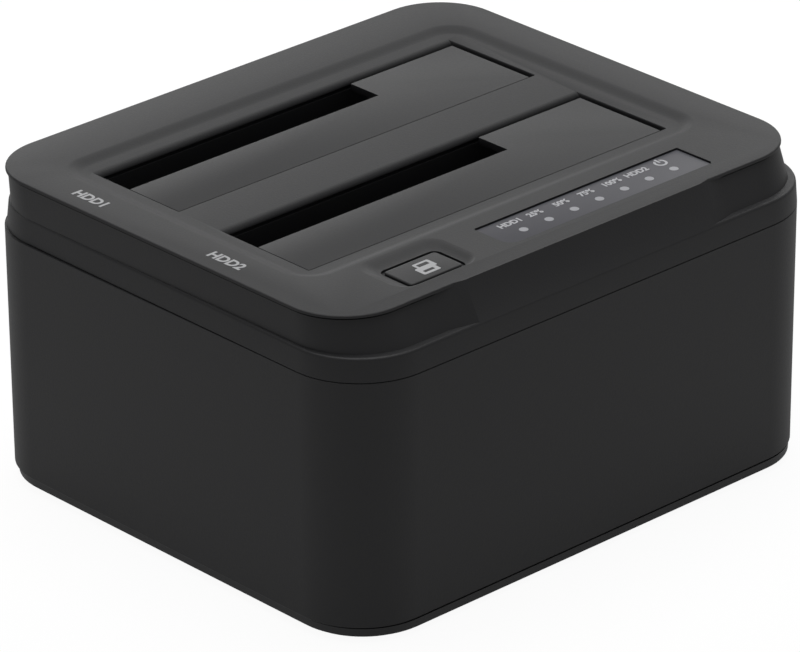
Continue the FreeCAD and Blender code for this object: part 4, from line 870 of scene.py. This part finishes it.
class DOCK_OT_stage(bpy.types.Operator):
    """Set the pale floor, the soft studio lamps and the camera"""

    bl_idname = "dock.stage"
    bl_label = "Stage"

    ambient, reflected = 0.05, 0.29  # how strong the white room is on the dock and in its sheen
    paper_glow, paper_share = 1.18, 0.8  # the floor's white, and how far it drowns the shadow
    lamps = (  # name, place and size in metres, power in watts
        ("overhead", (0.0, 0.1, 1.2), 1.0, 6.2),
        ("low, behind", (0.25, 0.75, 0.3), 0.5, 0.65),
        ("low, behind on the right", (0.5, 0.6, 0.35), 0.5, 0.4),
        ("right", (0.7, 0.25, 0.4), 0.5, 0.82),
    )
    aim = Vector((0, 0, 0.04))

    def execute(self, context):
        self.floor()
        for lamp in self.lamps:
            self.lamp(*lamp)
        self.world(context)
        self.camera(context)
        return {"FINISHED"}

    def seen(self, tree):
        """White to the camera, and a share of that in reflections and through clear parts."""
        path = add_node(tree, "ShaderNodeLightPath")
        mirrored = add_node(tree, "ShaderNodeMath", {"operation": "MAXIMUM"})
        tree.links.new(path.outputs["Is Glossy Ray"], mirrored.inputs[0])
        tree.links.new(path.outputs["Is Transmission Ray"], mirrored.inputs[1])
        share = add_node(tree, "ShaderNodeMapRange", Value=mirrored.outputs[0],
                         To_Max=self.reflected)
        white = add_node(tree, "ShaderNodeMath", {"operation": "MAXIMUM"})
        tree.links.new(path.outputs["Is Camera Ray"], white.inputs[0])
        tree.links.new(share.outputs[0], white.inputs[1])
        return white.outputs[0]

    def floor(self):
        """Paper that shows white, yet keeps the dock's shadow."""
        deselect()
        bpy.ops.mesh.primitive_plane_add(size=8)
        floor = bpy.context.active_object
        floor.name = "studio_floor"
        material, tree = new_material("matt white studio paper")
        paper = add_node(tree, "ShaderNodeBsdfDiffuse", Color=hex_colour("C8C8C8"))
        white = add_node(tree, "ShaderNodeEmission", Color=(1, 1, 1, 1),
                         Strength=self.paper_glow)
        share = add_node(tree, "ShaderNodeMapRange", Value=self.seen(tree),
                         To_Max=self.paper_share)
        blend = add_node(tree, "ShaderNodeMixShader", Fac=share.outputs[0])
        tree.links.new(paper.outputs[0], blend.inputs[1])
        tree.links.new(white.outputs[0], blend.inputs[2])
        surface(tree, blend)
        floor.data.materials.append(material)

    def lamp(self, name, place, size, power):
        """A round soft lamp turned to the dock."""
        deselect()
        bpy.ops.object.light_add(type="AREA", location=place)
        lamp = bpy.context.active_object
        lamp.name = name
        lamp.data.shape = "DISK"
        lamp.data.size = size
        lamp.data.energy = power
        towards = self.aim - Vector(place)
        lamp.rotation_euler = towards.to_track_quat("-Z", "Y").to_euler()

    def world(self, context):
        """A white room: full strength to the camera, faint on the dock."""
        world = bpy.data.worlds.new("studio")
        context.scene.world = world
        world.use_nodes = True
        tree = world.node_tree
        tree.nodes.clear()
        strength = add_node(tree, "ShaderNodeMapRange", Value=self.seen(tree),
                            To_Min=self.ambient, To_Max=1.0)
        sky = add_node(tree, "ShaderNodeBackground", Color=(1, 1, 1, 1),
                       Strength=strength.outputs[0])
        add_node(tree, "ShaderNodeOutputWorld", Surface=sky.outputs[0])
        context.scene.view_settings.view_transform = "Standard"

    def camera(self, context):
        """A long lens from the front left, above the dock."""
        azimuth, height, roll = (math.radians(angle) for angle in (-42.75, 25.5, -0.59))
        target, distance = Vector((0, 0, 0.0338)), 1.3259
        away = Vector((math.sin(azimuth) * math.cos(height),
                       -math.cos(azimuth) * math.cos(height), math.sin(height)))
        deselect()
        bpy.ops.object.camera_add(location=target + distance * away)
        camera = context.active_object
        view = (-away).to_track_quat("-Z", "Y") @ Quaternion((0, 0, 1), roll)
        camera.rotation_euler = view.to_euler()
        camera.data.sensor_width = 36
        camera.data.lens = context.scene.dock_look.lens
        camera.data.shift_x = -0.0036
        camera.data.shift_y = -0.0083
        camera.data.clip_end = 20
        context.scene.camera = camera


OPERATORS = (DOCK_OT_stage, DOCK_OT_top_cover, DOCK_OT_housing, DOCK_OT_base, DOCK_OT_flaps,
             DOCK_OT_button, DOCK_OT_light_strip, DOCK_OT_rim_lettering,
             DOCK_OT_inner_finishes)


class DOCK_PT_panel(bpy.types.Panel):
    """Lists the dock's sizes, colours and pieces"""

    bl_label = "Drive duplicator"
    bl_idname = "DOCK_PT_panel"
    bl_space_type = "VIEW_3D"
    bl_region_type = "UI"
    bl_category = "Drive duplicator"

    def draw(self, context):
        look = context.scene.dock_look
        for name in DockLook.__annotations__:
            self.layout.prop(look, name)
        for operator in OPERATORS:
            self.layout.operator(operator.bl_idname)


CLASSES = (DockLook, *OPERATORS, DOCK_PT_panel)


def register():
    """Make the dock's classes and settings known."""
    for cls in CLASSES:
        bpy.utils.register_class(cls)
    bpy.types.Scene.dock_look = PointerProperty(type=DockLook)


def unregister():
    """Take the dock's settings and classes away again."""
    del bpy.types.Scene.dock_look
    for cls in reversed(CLASSES):
        bpy.utils.unregister_class(cls)


def main():
    """Build the whole dock."""
    register()
    MATERIALS.update(make_materials(bpy.context.scene.dock_look))
    bpy.ops.dock.stage()
    bpy.ops.dock.top_cover()
    bpy.ops.dock.housing()
    bpy.ops.dock.base()
    bpy.ops.dock.flaps()
    bpy.ops.dock.button()
    bpy.ops.dock.light_strip()
    bpy.ops.dock.rim_lettering()
    bpy.ops.dock.inner_finishes()


if __name__ == "__main__":
    main()
